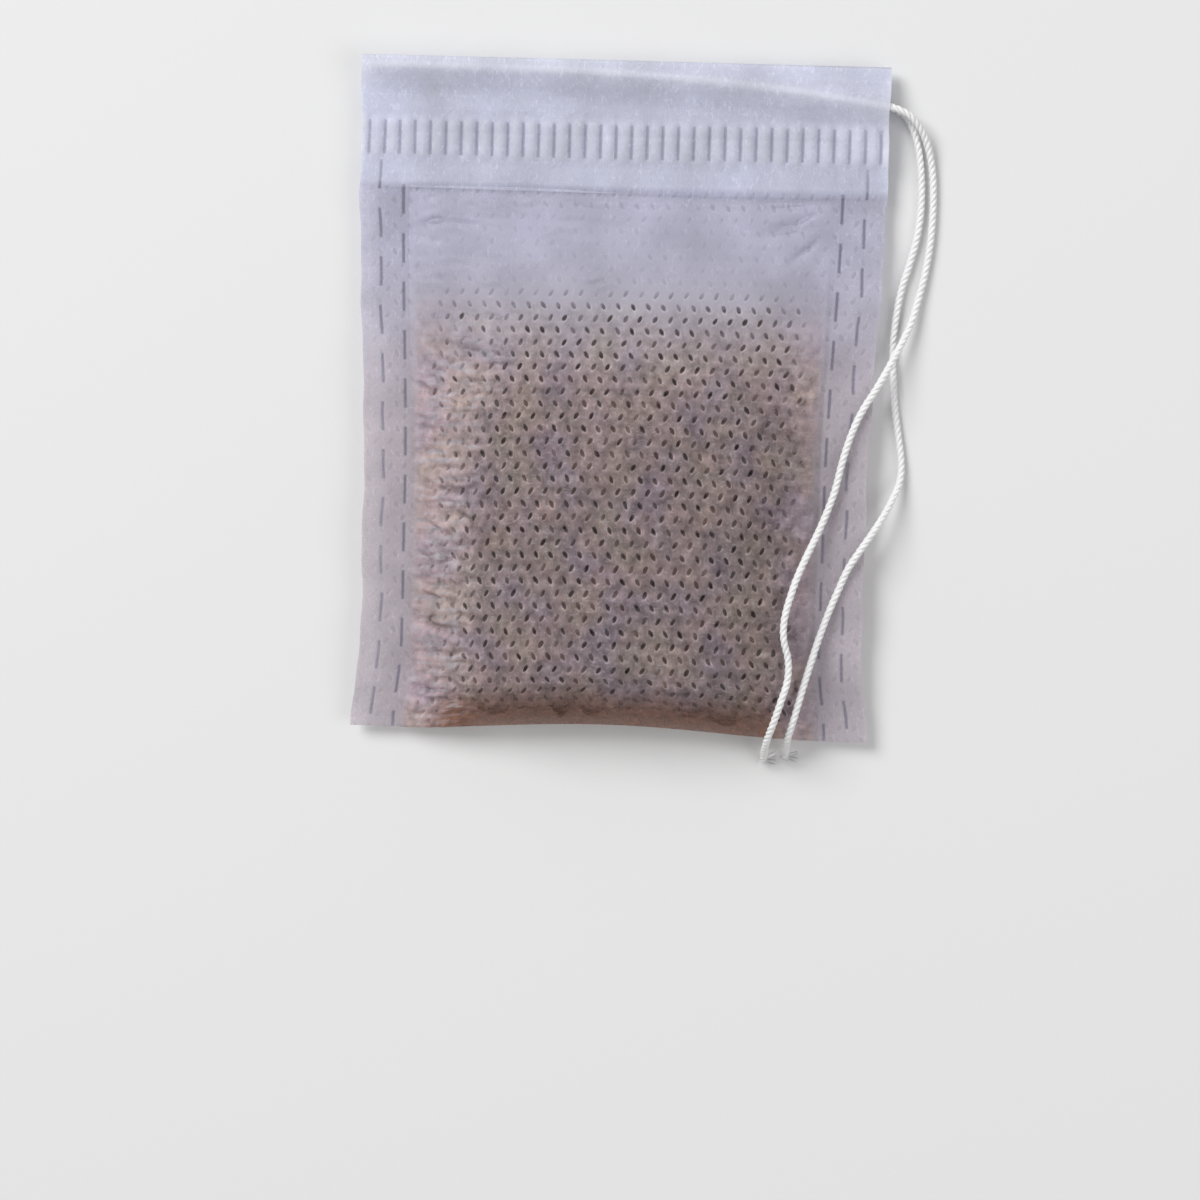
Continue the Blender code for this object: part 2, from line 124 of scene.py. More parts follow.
OVER_END = [
    (0.03470, 0.03985, 0.00320),
    (0.03560, 0.03970, 0.00320),
    (0.03780, 0.03860, 0.00270),
    (0.03980, 0.03590, 0.00145),
    (0.04085, 0.03220, 0.00065),
    (0.04120, 0.02800, 0.00052),
    (0.04110, 0.02290, 0.00052),
    (0.04050, 0.01820, 0.00056),
    (0.03965, 0.01440, 0.00080),
    (0.03880, 0.01130, 0.00130),
    (0.03740, 0.00820, 0.00205),
    (0.03580, 0.00510, 0.00310),
    (0.03440, 0.00260, 0.00380),
    (0.03300, 0.00030, 0.00400),
    (0.03190, -0.00200, 0.00400),
    (0.03090, -0.00490, 0.00410),
    (0.03020, -0.00760, 0.00414),
    (0.02950, -0.01080, 0.00416),
    (0.02860, -0.01360, 0.00422),
    (0.02750, -0.01640, 0.00470),
    (0.02630, -0.01900, 0.00575),
    (0.02510, -0.02170, 0.00685),
    (0.02420, -0.02430, 0.00755),
    (0.02335, -0.02770, 0.00808),
    (0.02330, -0.03050, 0.00808),
    (0.02400, -0.03340, 0.00765),
    (0.02400, -0.03620, 0.00764),
    (0.02320, -0.03910, 0.00785),
    (0.02230, -0.04210, 0.00726),
    (0.02160, -0.04440, 0.00560),
    (0.02130, -0.04600, 0.00350),
    (0.02120, -0.04710, 0.00180),
    (0.02115, -0.04800, 0.00060),
]
UNDER_END = [
    (0.03470, 0.03985, 0.00100),
    (0.03560, 0.03970, 0.00095),
    (0.03765, 0.03810, 0.00065),
    (0.03910, 0.03400, 0.00052),
    (0.03965, 0.02800, 0.00052),
    (0.03930, 0.02330, 0.00052),
    (0.03840, 0.01930, 0.00052),
    (0.03740, 0.01570, 0.00052),
    (0.03680, 0.01180, 0.00052),
    (0.03660, 0.00800, 0.00052),
    (0.03680, 0.00400, 0.00052),
    (0.03710, 0.00050, 0.00052),
    (0.03765, -0.00300, 0.00052),
    (0.03825, -0.00680, 0.00055),
    (0.03820, -0.00950, 0.00090),
    (0.03740, -0.01170, 0.00180),
    (0.03610, -0.01420, 0.00290),
    (0.03460, -0.01660, 0.00378),
    (0.03300, -0.01900, 0.00412),
    (0.03160, -0.02130, 0.00416),
    (0.03060, -0.02370, 0.00416),
    (0.02920, -0.02730, 0.00416),
    (0.02800, -0.03090, 0.00435),
    (0.02690, -0.03460, 0.00525),
    (0.02600, -0.03780, 0.00604),
    (0.02510, -0.04130, 0.00632),
    (0.02440, -0.04410, 0.00505),
    (0.02420, -0.04570, 0.00310),
    (0.02410, -0.04670, 0.00160),
    (0.02405, -0.04750, 0.00060),
]


def string_line(x):
    """How far along the bag the string lies in its tunnel, at x across it."""
    share = (x + HALF_WIDTH) / (2 * HALF_WIDTH)
    return TOP - STRING_BELOW_FOLD - STRING_SLANT * share**3


def smooth_route(points, step):
    """Evenly spaced points on a smooth curve through the given ones."""
    line = [Vector(p) for p in points]
    ends = [2 * line[0] - line[1], *line, 2 * line[-1] - line[-2]]
    fine = []
    for p0, p1, p2, p3 in zip(ends, ends[1:], ends[2:], ends[3:]):
        for k in range(BENDS_A_SPAN):
            t = k / BENDS_A_SPAN
            bend = 2 * p0 - 5 * p1 + 4 * p2 - p3
            close = 3 * p1 - p0 - 3 * p2 + p3
            fine.append(p1 + 0.5 * ((p2 - p0) * t + bend * t**2 + close * t**3))
    fine.append(line[-1])
    spans = [(b - a).length for a, b in zip(fine, fine[1:])]
    done = np.concatenate([[0.0], np.cumsum(spans)])
    wanted = np.linspace(0, done[-1], max(round(done[-1] / step), 2) + 1)
    places = np.array([tuple(p) for p in fine])
    return np.column_stack([np.interp(wanted, done, places[:, k]) for k in range(3)])


def hem_route():
    """The string's way inside the hems: out under the front one, round, and back under the back one."""
    straight = np.linspace(OVER_END[0][0], STRING_TURN_X, 40)
    out = [(x, string_line(x), HEM_MIDDLE + STRING_RISE) for x in straight]
    turn = [
        (
            STRING_TURN_X - STRING_RISE * math.sin(angle),
            string_line(STRING_TURN_X),
            HEM_MIDDLE + STRING_RISE * math.cos(angle),
        )
        for angle in np.linspace(0, math.pi, 12)[1:-1]
    ]
    back = [(x, string_line(x), HEM_MIDDLE - STRING_RISE) for x in straight[::-1]]
    return smooth_route(out + turn + back, STRING_THICKNESS / 2)


def add(tree, kind, inputs=None, **settings):
    """One node. Its inputs are given by name or number: plain values, or what comes out of others."""
    node = tree.nodes.new(kind)
    for name, value in settings.items():
        setattr(node, name, value)
    for key, value in (inputs or {}).items():
        if isinstance(value, Field):
            value = value.socket
        if isinstance(value, bpy.types.Node):
            value = value.outputs[0]
        if isinstance(value, bpy.types.NodeSocket):
            tree.links.new(value, node.inputs[key])
        else:
            node.inputs[key].default_value = value
    return node


class Field:
    """A number worked out at every point of a piece, written with plain arithmetic."""

    def __init__(self, tree, socket):
        self.tree = tree
        self.socket = socket

    def worked(self, operation, *others):
        return maths(self.tree, operation, self, *others)

    def __add__(self, other):
        return self.worked("ADD", other)

    def __sub__(self, other):
        return self.worked("SUBTRACT", other)

    def __mul__(self, other):
        return self.worked("MULTIPLY", other)

    def __truediv__(self, other):
        return self.worked("DIVIDE", other)

    def __pow__(self, power):
        return self.worked("POWER", power)

    def __abs__(self):
        return self.worked("ABSOLUTE")

    def __rsub__(self, other):
        return maths(self.tree, "SUBTRACT", other, self)

    def __rtruediv__(self, other):
        return maths(self.tree, "DIVIDE", other, self)

    __radd__ = __add__
    __rmul__ = __mul__


def maths(tree, operation, *values):
    node = add(tree, "ShaderNodeMath", dict(enumerate(values)), operation=operation)
    return Field(tree, node.outputs[0])


def vectors(tree, operation, *values):
    node = add(tree, "ShaderNodeVectorMath", dict(enumerate(values)), operation=operation)
    return node.outputs["Vector"]


def scaled(tree, vector, factor):
    inputs = {0: vector, "Scale": factor}
    return add(tree, "ShaderNodeVectorMath", inputs, operation="SCALE").outputs["Vector"]


def noise(tree, where, scale, detail, roughness=0.5, **settings):
    """A random pattern with bumps about 1 / scale metres apart."""
    inputs = {"Vector": where, "Scale": scale, "Detail": detail, "Roughness": roughness}
    return add(tree, "ShaderNodeTexNoise", inputs, **settings)


def bumped(tree, shader, height, strength, distance):
    """Roughens the shader's surface by the height, and returns the surface's normal."""
    inputs = {"Height": height, "Strength": strength, "Distance": distance}
    normal = add(tree, "ShaderNodeBump", inputs).outputs["Normal"]
    tree.links.new(normal, shader.inputs["Normal"])
    return normal


def random_value(tree, kind, low, high, seed):
    inputs = {"Min": low, "Max": high, "Seed": seed}
    return add(tree, "FunctionNodeRandomValue", inputs, data_type=kind).outputs["Value"]


def read_at_points(tree, label, kind="FLOAT"):
    """What is noted under that label at the points of the geometry."""
    given = {"Name": label}
    node = add(tree, "GeometryNodeInputNamedAttribute", given, data_type=kind)
    return Field(tree, node.outputs["Attribute"])


def geometry_tree(name, sizes):
    """An empty tree, the geometry that goes in, and a field for each named size that goes in."""
    tree = bpy.data.node_groups.new(name, "GeometryNodeTree")
    tree.interface.new_socket("Geometry", in_out="INPUT", socket_type="NodeSocketGeometry")
    for label in sizes:
        tree.interface.new_socket(label, in_out="INPUT", socket_type="NodeSocketFloat")
    tree.interface.new_socket("Geometry", in_out="OUTPUT", socket_type="NodeSocketGeometry")
    given = tree.nodes.new("NodeGroupInput").outputs
    return tree, given["Geometry"], [Field(tree, given[label]) for label in sizes]


def handed_out(tree, geometry, finish):
    """The tree, once it makes every instance real, gives the whole its finish and hands it out."""
    real = add(tree, "GeometryNodeRealizeInstances", {"Geometry": geometry})
    dressed = add(tree, "GeometryNodeSetMaterial", {"Geometry": real, "Material": finish})
    add(tree, "NodeGroupOutput", {"Geometry": dressed})
    return tree


def made_by(tree, source, name, sizes):
    """The plain mesh piece that the tree makes of the source object, with the given sizes."""
    modifier = source.modifiers.new(tree.name, "NODES")
    modifier.node_group = tree
    for socket in tree.interface.items_tree:
        if socket.in_out == "INPUT" and socket.name in sizes:
            modifier[socket.identifier] = sizes[socket.name]
    depsgraph = bpy.context.evaluated_depsgraph_get()
    mesh = bpy.data.meshes.new_from_object(source.evaluated_get(depsgraph))
    mesh.name = name
    bpy.data.objects.remove(source)
    return put_in(bpy.data.objects.new(name, mesh))


def route_curve(name, points):
    data = bpy.data.curves.new(name, "CURVE")
    data.dimensions = "3D"
    spline = data.splines.new("POLY")
    spline.points.add(len(points) - 1)
    for place, point in zip(spline.points, points):
        place.co = (*point, 1.0)
    return put_in(bpy.data.objects.new(name, data))


def blended(tree, share, first, second):
    """The colour that lies that share of the way from the first colour to the second."""
    node = add(tree, "ShaderNodeMix", {"Factor": share}, data_type="RGBA")
    for colour, socket in ((first, node.inputs[6]), (second, node.inputs[7])):
        if isinstance(colour, bpy.types.NodeSocket):
            tree.links.new(colour, socket)
        else:
            socket.default_value = colour
    return node.outputs[2]


def new_finish(name, **surface):
    """A finish, its tree and its shader, with plain values set on the shader's sockets."""
    finish = bpy.data.materials.new(name)
    finish.use_nodes = True
    shader = finish.node_tree.nodes["Principled BSDF"]
    for label, value in surface.items():
        shader.inputs[label.replace("_", " ")].default_value = value
    return finish, finish.node_tree, shader


def cotton_finish():
    """Soft matt white with faint patches, and fine fibres across the plies."""
    finish, tree, shader = new_finish(
        "cotton", Roughness=0.88, Sheen_Weight=0.05, Sheen_Roughness=0.6
    )
    where = add(tree, "ShaderNodeTexCoord").outputs["Object"]
    fibres = noise(tree, where, COTTON_FIBRES, 4.0).outputs["Fac"]
    patches = noise(tree, where, COTTON_PATCHES, 2.0).outputs["Fac"]
    shade = add(
        tree,
        "ShaderNodeMapRange",
        {"Value": patches, "From Min": 0.3, "From Max": 0.7, "To Min": 0.8, "To Max": 1.0},
    )
    colour = blended(tree, shade.outputs["Result"], STRING_HOLLOW_COLOUR, STRING_COLOUR)
    tree.links.new(colour, shader.inputs["Base Color"])
    bumped(tree, shader, fibres, 0.5, COTTON_NAP)
    return finish


def twisted_string_tree(finish):
    """Plies wound round the route, stray fibres standing off them, and a frayed far end."""
    tree, way, sizes = geometry_tree(
        "twisted_string", ["Thickness", "Twist", "Fuzz per metre", "Fray fibres", "Fray spread"]
    )
    thickness, twist, fuzz_per_metre, fray_fibres, fray_spread = sizes
    route = add(
        tree,
        "GeometryNodeResampleCurve",
        {"Curve": way, "Length": twist / STEPS_A_TWIST},
        mode="LENGTH",
    )
    along = Field(tree, add(tree, "GeometryNodeSplineParameter").outputs["Length"])
    turn = along / twist * (2 * math.pi)
    normal = add(tree, "GeometryNodeInputNormal").outputs["Normal"]
    tangent = add(tree, "GeometryNodeInputTangent").outputs["Tangent"]
    across = vectors(tree, "CROSS_PRODUCT", tangent, normal)
    ring = add(
        tree,
        "GeometryNodeCurvePrimitiveCircle",
        {"Resolution": PLY_SIDES, "Radius": thickness * PLY_RADIUS_SHARE},
    )
    joined = add(tree, "GeometryNodeJoinGeometry")
    for ply in range(STRING_PLIES):
        angle = turn + 2 * math.pi * ply / STRING_PLIES
        first = scaled(tree, normal, angle.worked("COSINE"))
        second = scaled(tree, across, angle.worked("SINE"))
        aside = scaled(tree, vectors(tree, "ADD", first, second), thickness * PLY_OFFSET_SHARE)
        wound = add(tree, "GeometryNodeSetPosition", {"Geometry": route, "Offset": aside})
        strand = add(
            tree,
            "GeometryNodeCurveToMesh",
            {"Curve": wound, "Profile Curve": ring, "Fill Caps": True},
        )
        tree.links.new(strand.outputs["Mesh"], joined.inputs["Geometry"])

    fibre_line = add(
        tree,
        "GeometryNodeCurvePrimitiveBezierSegment",
        {
            "Resolution": 4,
            "Start": (0.0, 0.0, 0.0),
            "Start Handle": (0.0001, 0.0, 0.0004),
            "End Handle": (0.0004, 0.0001, 0.0006),
            "End": (0.0007, 0.0002, 0.0007),
        },
    )
    fibre_ring = add(
        tree, "GeometryNodeCurvePrimitiveCircle", {"Resolution": 3, "Radius": FIBRE_RADIUS}
    )
    fibre = add(tree, "GeometryNodeCurveToMesh", {"Curve": fibre_line, "Profile Curve": fibre_ring})
    roots = add(
        tree,
        "GeometryNodeCurveToPoints",
        {"Curve": way, "Length": 1.0 / fuzz_per_metre},
        mode="LENGTH",
    )
    any_way = (6.28, 6.28, 6.28)
    fuzz = add(
        tree,
        "GeometryNodeInstanceOnPoints",
        {
            "Points": roots,
            "Instance": fibre,
            "Rotation": random_value(tree, "FLOAT_VECTOR", (0.0, 0.0, 0.0), any_way, 3),
            "Scale": random_value(tree, "FLOAT", *FIBRE_SIZES, 5),
        },
    )
    tree.links.new(fuzz.outputs["Instances"], joined.inputs["Geometry"])

    last = add(tree, "GeometryNodeCurveEndpointSelection", {"Start Size": 0, "End Size": 1})
    headed = add(
        tree,
        "GeometryNodeStoreNamedAttribute",
        {"Geometry": way, "Name": "heading", "Value": tangent},
        data_type="FLOAT_VECTOR",
        domain="POINT",
    )
    tips = add(
        tree,
        "GeometryNodeDuplicateElements",
        {
            "Geometry": headed,
            "Selection": last,
            "Amount": fray_fibres,
        },
        domain="POINT",
    )
    heading = read_at_points(tree, "heading", "FLOAT_VECTOR")
    apart = random_value(tree, "FLOAT_VECTOR", (-1.0, -1.0, -1.0), (1.0, 1.0, 1.0), 8)
    level = vectors(tree, "MULTIPLY", heading, (1.0, 1.0, 0.1))
    aim = vectors(tree, "ADD", level, scaled(tree, apart, fray_spread))
    facing = add(tree, "FunctionNodeAlignRotationToVector", {"Vector": aim}, axis="Z")
    start = scaled(tree, apart, thickness * FRAY_START_SHARE)
    spread_tips = add(tree, "GeometryNodeSetPosition", {"Geometry": tips, "Offset": start})
    fray = add(
        tree,
        "GeometryNodeInstanceOnPoints",
        {
            "Points": spread_tips,
            "Instance": fibre,
            "Rotation": facing.outputs["Rotation"],
            "Scale": FRAY_SCALE,
        },
    )
    tree.links.new(fray.outputs["Instances"], joined.inputs["Geometry"])

    real = add(tree, "GeometryNodeRealizeInstances", {"Geometry": joined})
    place = add(tree, "GeometryNodeInputPosition")
    place = vectors(tree, "MAXIMUM", place, (-1.0, -1.0, ABOVE_FLOOR))
    above_floor = add(tree, "GeometryNodeSetPosition", {"Geometry": real, "Position": place})
    smooth = add(tree, "GeometryNodeSetShadeSmooth", {"Geometry": above_floor})
    return handed_out(tree, smooth, finish)


cotton = cotton_finish()
string_tree = twisted_string_tree(cotton)
string_sizes = {"Thickness": STRING_THICKNESS, "Twist": STRING_TWIST, "Fuzz per metre": STRING_FUZZ}
hem_way = route_curve("hem_way", hem_route())
string_in_hem = made_by(string_tree, hem_way, "string_in_hem", string_sizes)
frayed = {"Fray fibres": FRAY_FIBRES, "Fray spread": FRAY_SPREAD}
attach(string_in_hem, "root")
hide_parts("drawstring_loop")
for end_name, node_name, route_points in (
    ("string_over_end", "drawstring_over_end", OVER_END),
    ("string_under_end", "drawstring_under_end", UNDER_END),
):
    line = smooth_route(route_points, STRING_THICKNESS / 2)
    way = route_curve(end_name + "_way", line)
    string_end = made_by(string_tree, way, end_name, {**string_sizes, **frayed})
    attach(string_end, "root")
    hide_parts(node_name)


# The lying pouch's form, as the tea gives it: full and round over the bottom fold, falling away to the
# flat hem, with the side seals drawn in at the waist. The cloth and the tea both take their place from
# it. Heights are those of the middle of the cloth.

HEM_DEPTH = 0.017
SEAM_WIDTH = 0.0066
SEAM_STEP = 0.0006
SIDE_OPEN = TOP - 0.010
FULL_LENGTH = 0.034
BOTTOM_ROUND = 0.009
BACK_ROUND = 0.007
BACK_ROLL = 0.009
SEAM_LIFT = 0.001
SIDE_DRAW = 0.0013
BOTTOM_DRAW = 0.0014
CORNER_LENGTH = 0.012
FRONT_SQUARENESS = 2.6
FRONT_FULLNESS = 0.85
PUFF = 0.0007
PUFF_SIDE = 0.0045
PUFF_END = 0.0040
FILL_LENGTH = 0.059
FILL_EDGE = 0.0021
TUNNEL_SPREAD = 0.0044
TUNNEL_SNUG = 0.00138
FOLD_ROUND = 0.0004

THICKNESS = bag_high.z - 0.0001
POUCH_HALF = HALF_WIDTH - SEAM_WIDTH
HEM_EDGE = TOP - HEM_DEPTH
FILL_START = BOTTOM + FILL_EDGE
FILL_TOP = BOTTOM + FILL_LENGTH


def ease(share):
    share = np.clip(share, 0.0, 1.0)
    return share * share * (3 - 2 * share)


def round_end(distance, length):
    """A quarter ellipse: 0 at the end, 1 from length on."""
    share = np.clip(distance / length, 0.0, 1.0)
    return np.sqrt(np.maximum(1 - (1 - share) ** 2, 0.0))


def taper(y):
    full_to = BOTTOM + FULL_LENGTH
    return 1 - ease((y - full_to) / (HEM_EDGE - full_to))


def drawn(y):
    return ease((y - BOTTOM) / CORNER_LENGTH) * taper(y)


def seam_plane(y):
    return HEM_MIDDLE + SEAM_LIFT * drawn(y)


def tunnel_height(x, y):
    reach = np.minimum(np.abs(y - string_line(x)) / TUNNEL_SPREAD, 1.0)
    return TUNNEL_SNUG * np.cos(reach * math.pi / 2) ** 2


def flat_half(u, y):
    """Half of the bag's thickness to the middle of its outer cloth, where nothing fills it."""
    layers = 0.5 + ease((y - HEM_EDGE + 0.0022) / 0.0022)
    parted = ease((POUCH_HALF - np.abs(u)) / SEAM_STEP) * ease((SIDE_OPEN - y) / 0.0005)
    parted = np.maximum(parted, ease((y - SIDE_OPEN) / 0.0005))
    full = layers * CLOTH + parted * MOUTH_GAP / 2
    return full * round_end(y - BOTTOM, FOLD_ROUND)


def puff(u, y):
    """How far the front stands up where the pouch is empty, between the tea and the hem."""
    inside = ease((POUCH_HALF - np.abs(u)) / PUFF_SIDE) * ease((HEM_EDGE - y) / PUFF_END)
    return PUFF * inside * ease((y - FILL_TOP) / PUFF_END)


def front_height(u, y):
    across = np.maximum(1 - (np.abs(u) / POUCH_HALF) ** FRONT_SQUARENESS, 0.0) ** FRONT_FULLNESS
    rise = (THICKNESS - seam_plane(y)) * taper(y) * across * round_end(y - BOTTOM, BOTTOM_ROUND)
    return seam_plane(y) + puff(u, y) + flat_half(u, y) + rise + tunnel_height(u, y)


def back_height(u, y):
    base = seam_plane(y)
    across = ease((POUCH_HALF - np.abs(u)) / BACK_ROLL)
    settled = ease(taper(y) / 0.5)
    fall = (base - flat_half(0.0, y) - CLOTH / 2) * settled * across
    low = base - flat_half(u, y) - fall * round_end(y - BOTTOM, BACK_ROUND) - tunnel_height(u, y)
    return np.maximum(low, CLOTH / 2)


def plan(u, y):
    """Where the flat cloth's point (u, y) lies in plan, once the full pouch has drawn it in."""
    x = u * (1 - SIDE_DRAW * drawn(y) / HALF_WIDTH)
    arch = np.maximum(1 - (u / POUCH_HALF) ** 2, 0.0) ** 2
    return x, y + BOTTOM_DRAW * arch * (1 - ease((y - BOTTOM) / (2 * CORNER_LENGTH)))


def on_side(u, y, side):
    """Points of the front (side 1) or the back (side -1) for arrays of u and y."""
    x, along = plan(u, y)
    height = front_height(u, y) if side > 0 else back_height(u, y)
    return np.stack([x, along, height], axis=-1)


def outward(u, y, side):
    """Unit normals there, pointing out of the bag."""
    step = 0.00005
    du = on_side(u + step, y, side) - on_side(u - step, y, side)
    dy = on_side(u, y + step, side) - on_side(u, y - step, side)
    normal = np.cross(du, dy) * side
    return normal / np.maximum(np.linalg.norm(normal, axis=-1, keepdims=True), 1e-12)


# The tea. Hulled buckwheat: three-lobed kernels with a blunt foot and a pointed tip, about 5 mm long,
# brown to olive. They lie loose in the pouch, packed against the cloth by their own weight.

KERNEL_LENGTH = 0.0049
KERNEL_WIDTH = 0.0040
KERNEL_SIDES = 9
KERNEL_RINGS = 5
KERNEL_FAT_END = 0.72
KERNEL_BLUNTNESS = 0.8
KERNEL_PITCH = 0.0044
KERNEL_ROW = KERNEL_PITCH * math.sqrt(3) / 2
LEAST_SINK = 0.0003
KERNEL_SINK = 0.0005
KERNEL_SCATTER = 0.0005
SCATTER_ACROSS = (12.9, 7.1)
SCATTER_ALONG = (4.7, 9.3)
SCATTER_DOWN = (8.3, 5.9)
KERNEL_SHADES = (
    (0.020, 0.013, 0.015, 1.0),
    (0.060, 0.034, 0.034, 1.0),
    (0.110, 0.070, 0.058, 1.0),
    (0.060, 0.046, 0.036, 1.0),
    (0.022, 0.017, 0.025, 1.0),
)
KERNEL_MEAL = 2400.0
KERNEL_BLOTS = 420.0
MEAL_DEPTH = 0.0001
KERNEL_SIZE = 0.94
KERNEL_SIZE_SPREAD = 0.16
KERNEL_CLEARANCE = 0.0009
KERNEL_TILT = 0.4
SIDE_MARGIN = 0.0020
TOP_MARGIN = 0.0018
LEAST_ROOM = 0.0026
ROOM_FOR_TWO = 0.0078
MIDDLE_MARGIN = 0.0045
MIDDLE_DEPTHS = (0.0026, 0.0058)
MIDDLE_SIZE = 0.95
FILL_END_ROUND = 0.010
FILL_SHOULDER = 0.007
LEFT_STAND_OFF = 0.0014
LEFT_STAND_WIDTH = 0.011
TOP_STAND_OFF = 0.0015
TOP_STAND_LENGTH = 0.018

tea_order = np.random.default_rng(71)


def kernel_form(name, lobes, lean):
    """One kernel along Z: fat above its foot, pointed at the tip, and three-lobed across."""
    mesh = bpy.data.meshes.new(name)
    bm = bmesh.new()
    rows = []
    for j in range(1, KERNEL_RINGS + 1):
        t = j / (KERNEL_RINGS + 1)
        girth = (math.sin(math.pi * t**KERNEL_FAT_END) ** KERNEL_BLUNTNESS) * KERNEL_WIDTH / 2
        row = []
        for i in range(KERNEL_SIDES):
            angle = 2 * math.pi * i / KERNEL_SIDES
            r = girth * (1 + lobes * math.cos(3 * angle))
            x = r * math.cos(angle) + lean * (t - 0.5) ** 2
            row.append(bm.verts.new((x, r * math.sin(angle), KERNEL_LENGTH * (t - 0.45))))
        rows.append(row)
    foot = bm.verts.new((lean * 0.2, 0, -KERNEL_LENGTH * 0.43))
    tip = bm.verts.new((lean * 0.25, 0, KERNEL_LENGTH * 0.55))
    for i in range(KERNEL_SIDES):
        n = (i + 1) % KERNEL_SIDES
        bm.faces.new([foot, rows[0][n], rows[0][i]])
        bm.faces.new([tip, rows[-1][i], rows[-1][n]])
        for a, b in zip(rows, rows[1:]):
            bm.faces.new([a[i], a[n], b[n], b[i]])
    bm.to_mesh(mesh)
    bm.free()
    mesh.shade_smooth()
    return put_in(bpy.data.objects.new(name, mesh))


def skin_kernels(side):
    """Kernels in staggered rows against the front or the back: (u, y, how deep each sits, luck, room)."""
    start = FILL_START - KERNEL_ROW * 2 / 3
    kept = []
    for j in range(1, int((FILL_TOP - start) / KERNEL_ROW) + 1):
        for i in range(-6, 7):
            aside = math.sin(SCATTER_ACROSS[0] * i + SCATTER_ACROSS[1] * j)
            ahead = math.sin(SCATTER_ALONG[0] * i + SCATTER_ALONG[1] * j)
            down = math.sin(SCATTER_DOWN[0] * i + SCATTER_DOWN[1] * j)
            u = i * KERNEL_PITCH + KERNEL_PITCH / 2 * (j % 2) + KERNEL_SCATTER * aside
            y = start + j * KERNEL_ROW + KERNEL_SCATTER * ahead
            luck = tea_order.random(3)
            closing = float(round_end(FILL_TOP - y, FILL_END_ROUND))
            front, back = (on_side(np.array(u), np.array(y), face)[2] for face in (1, -1))
            room = float(front - back)
            outside = abs(u) > POUCH_HALF - SIDE_MARGIN - FILL_SHOULDER * (1 - closing)
            if outside or room < LEAST_ROOM or y > FILL_TOP - TOP_MARGIN:
                continue
            sink = LEAST_SINK + KERNEL_SINK * (1 + down) / 2
            if side > 0:
                left = ease((LEFT_STAND_WIDTH - POUCH_HALF - u) / (LEFT_STAND_WIDTH / 2))
                top = ease((y - FILL_TOP + TOP_STAND_LENGTH) / TOP_STAND_LENGTH)
                sink += float(LEFT_STAND_OFF * left + TOP_STAND_OFF * top)
            kept.append((u, y, sink, luck, room))
    return kept


front_kernels = skin_kernels(1)
back_kernels = [kernel for kernel in skin_kernels(-1) if kernel[4] > ROOM_FOR_TWO]


def settled_kernels():
    """Every kernel's centre, turn and size: against the front, against the back, and between them."""
    places, turns, sizes, shades = [], [], [], []

    def lay(point, turn, size):
        places.append(point)
        turns.append(turn)
        sizes.append(size)
        drift = math.sin(point[0] * 410 + 1.3) + math.sin(point[1] * 330 + point[0] * 150)
        shades.append(min(max(0.5 + 0.22 * drift + 0.35 * (tea_order.random() - 0.5), 0.0), 1.0))

    for side, kernels in ((1, front_kernels), (-1, back_kernels)):
        for u, y, sink, luck, room in kernels:
            point = on_side(np.array(u), np.array(y), side)
            normal = outward(np.array(u), np.array(y), side)
            size = KERNEL_SIZE + KERNEL_SIZE_SPREAD * luck[1]
            size = min(size, (room - KERNEL_CLEARANCE) / KERNEL_WIDTH)
            centre = point - normal * (size * KERNEL_WIDTH / 2 + min(sink, room / 4) + CLOTH)
            flat = Vector(normal).cross(Vector((luck[1] - 0.5, luck[2] - 0.5, 0.05))).normalized()
            tilt = (flat + Vector(normal) * (luck[0] - 0.5) * KERNEL_TILT).normalized()
            turn = tilt.to_track_quat("Z", "Y").to_euler()
            lay(centre, (turn.x, turn.y, turn.z), size)
    for u, y, sink, luck, room in front_kernels:
        u, y = u + KERNEL_PITCH / 2, y + KERNEL_ROW / 3
        if abs(u) > POUCH_HALF - MIDDLE_MARGIN:
            continue
        point = on_side(np.array(u), np.array(y), 1)
        normal = outward(np.array(u), np.array(y), 1)
        turn = tuple(luck * 2 * math.pi)
        for depth in MIDDLE_DEPTHS:
            if room - depth > 2.3 * KERNEL_WIDTH - MIDDLE_DEPTHS[0]:
                lay(point - normal * (KERNEL_WIDTH / 2 + sink + depth), turn, MIDDLE_SIZE)
    return places, turns, sizes, shades


def kernel_finish():
    """Brown to olive, each kernel its own shade, in paler and darker blots, and mealy to the touch."""
    finish, tree, shader = new_finish("buckwheat", Roughness=0.62)
    where = add(tree, "ShaderNodeTexCoord").outputs["Object"]
    shade = add(tree, "ShaderNodeAttribute", attribute_name="shade").outputs["Fac"]
    ramp = add(tree, "ShaderNodeValToRGB", {"Fac": shade})
    ramp.color_ramp.interpolation = "LINEAR"
    marks = ramp.color_ramp.elements
    marks[0].color = KERNEL_SHADES[0]
    marks[1].color = KERNEL_SHADES[-1]
    for k, colour in enumerate(KERNEL_SHADES[1:-1], 1):
        marks.new(k / (len(KERNEL_SHADES) - 1)).color = colour
    meal = Field(tree, noise(tree, where, KERNEL_MEAL, 2.0).outputs["Fac"])
    blot = noise(tree, where, KERNEL_BLOTS, 1.0).outputs["Fac"]
    light = add(
        tree,
        "ShaderNodeMapRange",
        {"Value": blot, "From Min": 0.3, "From Max": 0.7, "To Min": 0.7, "To Max": 1.35},
    )
    spotted = Field(tree, light.outputs["Result"]) * (0.5 * meal + 0.75)
    tree.links.new(scaled(tree, ramp.outputs["Color"], spotted), shader.inputs["Base Color"])
    bumped(tree, shader, meal, 0.6, MEAL_DEPTH)
    return finish


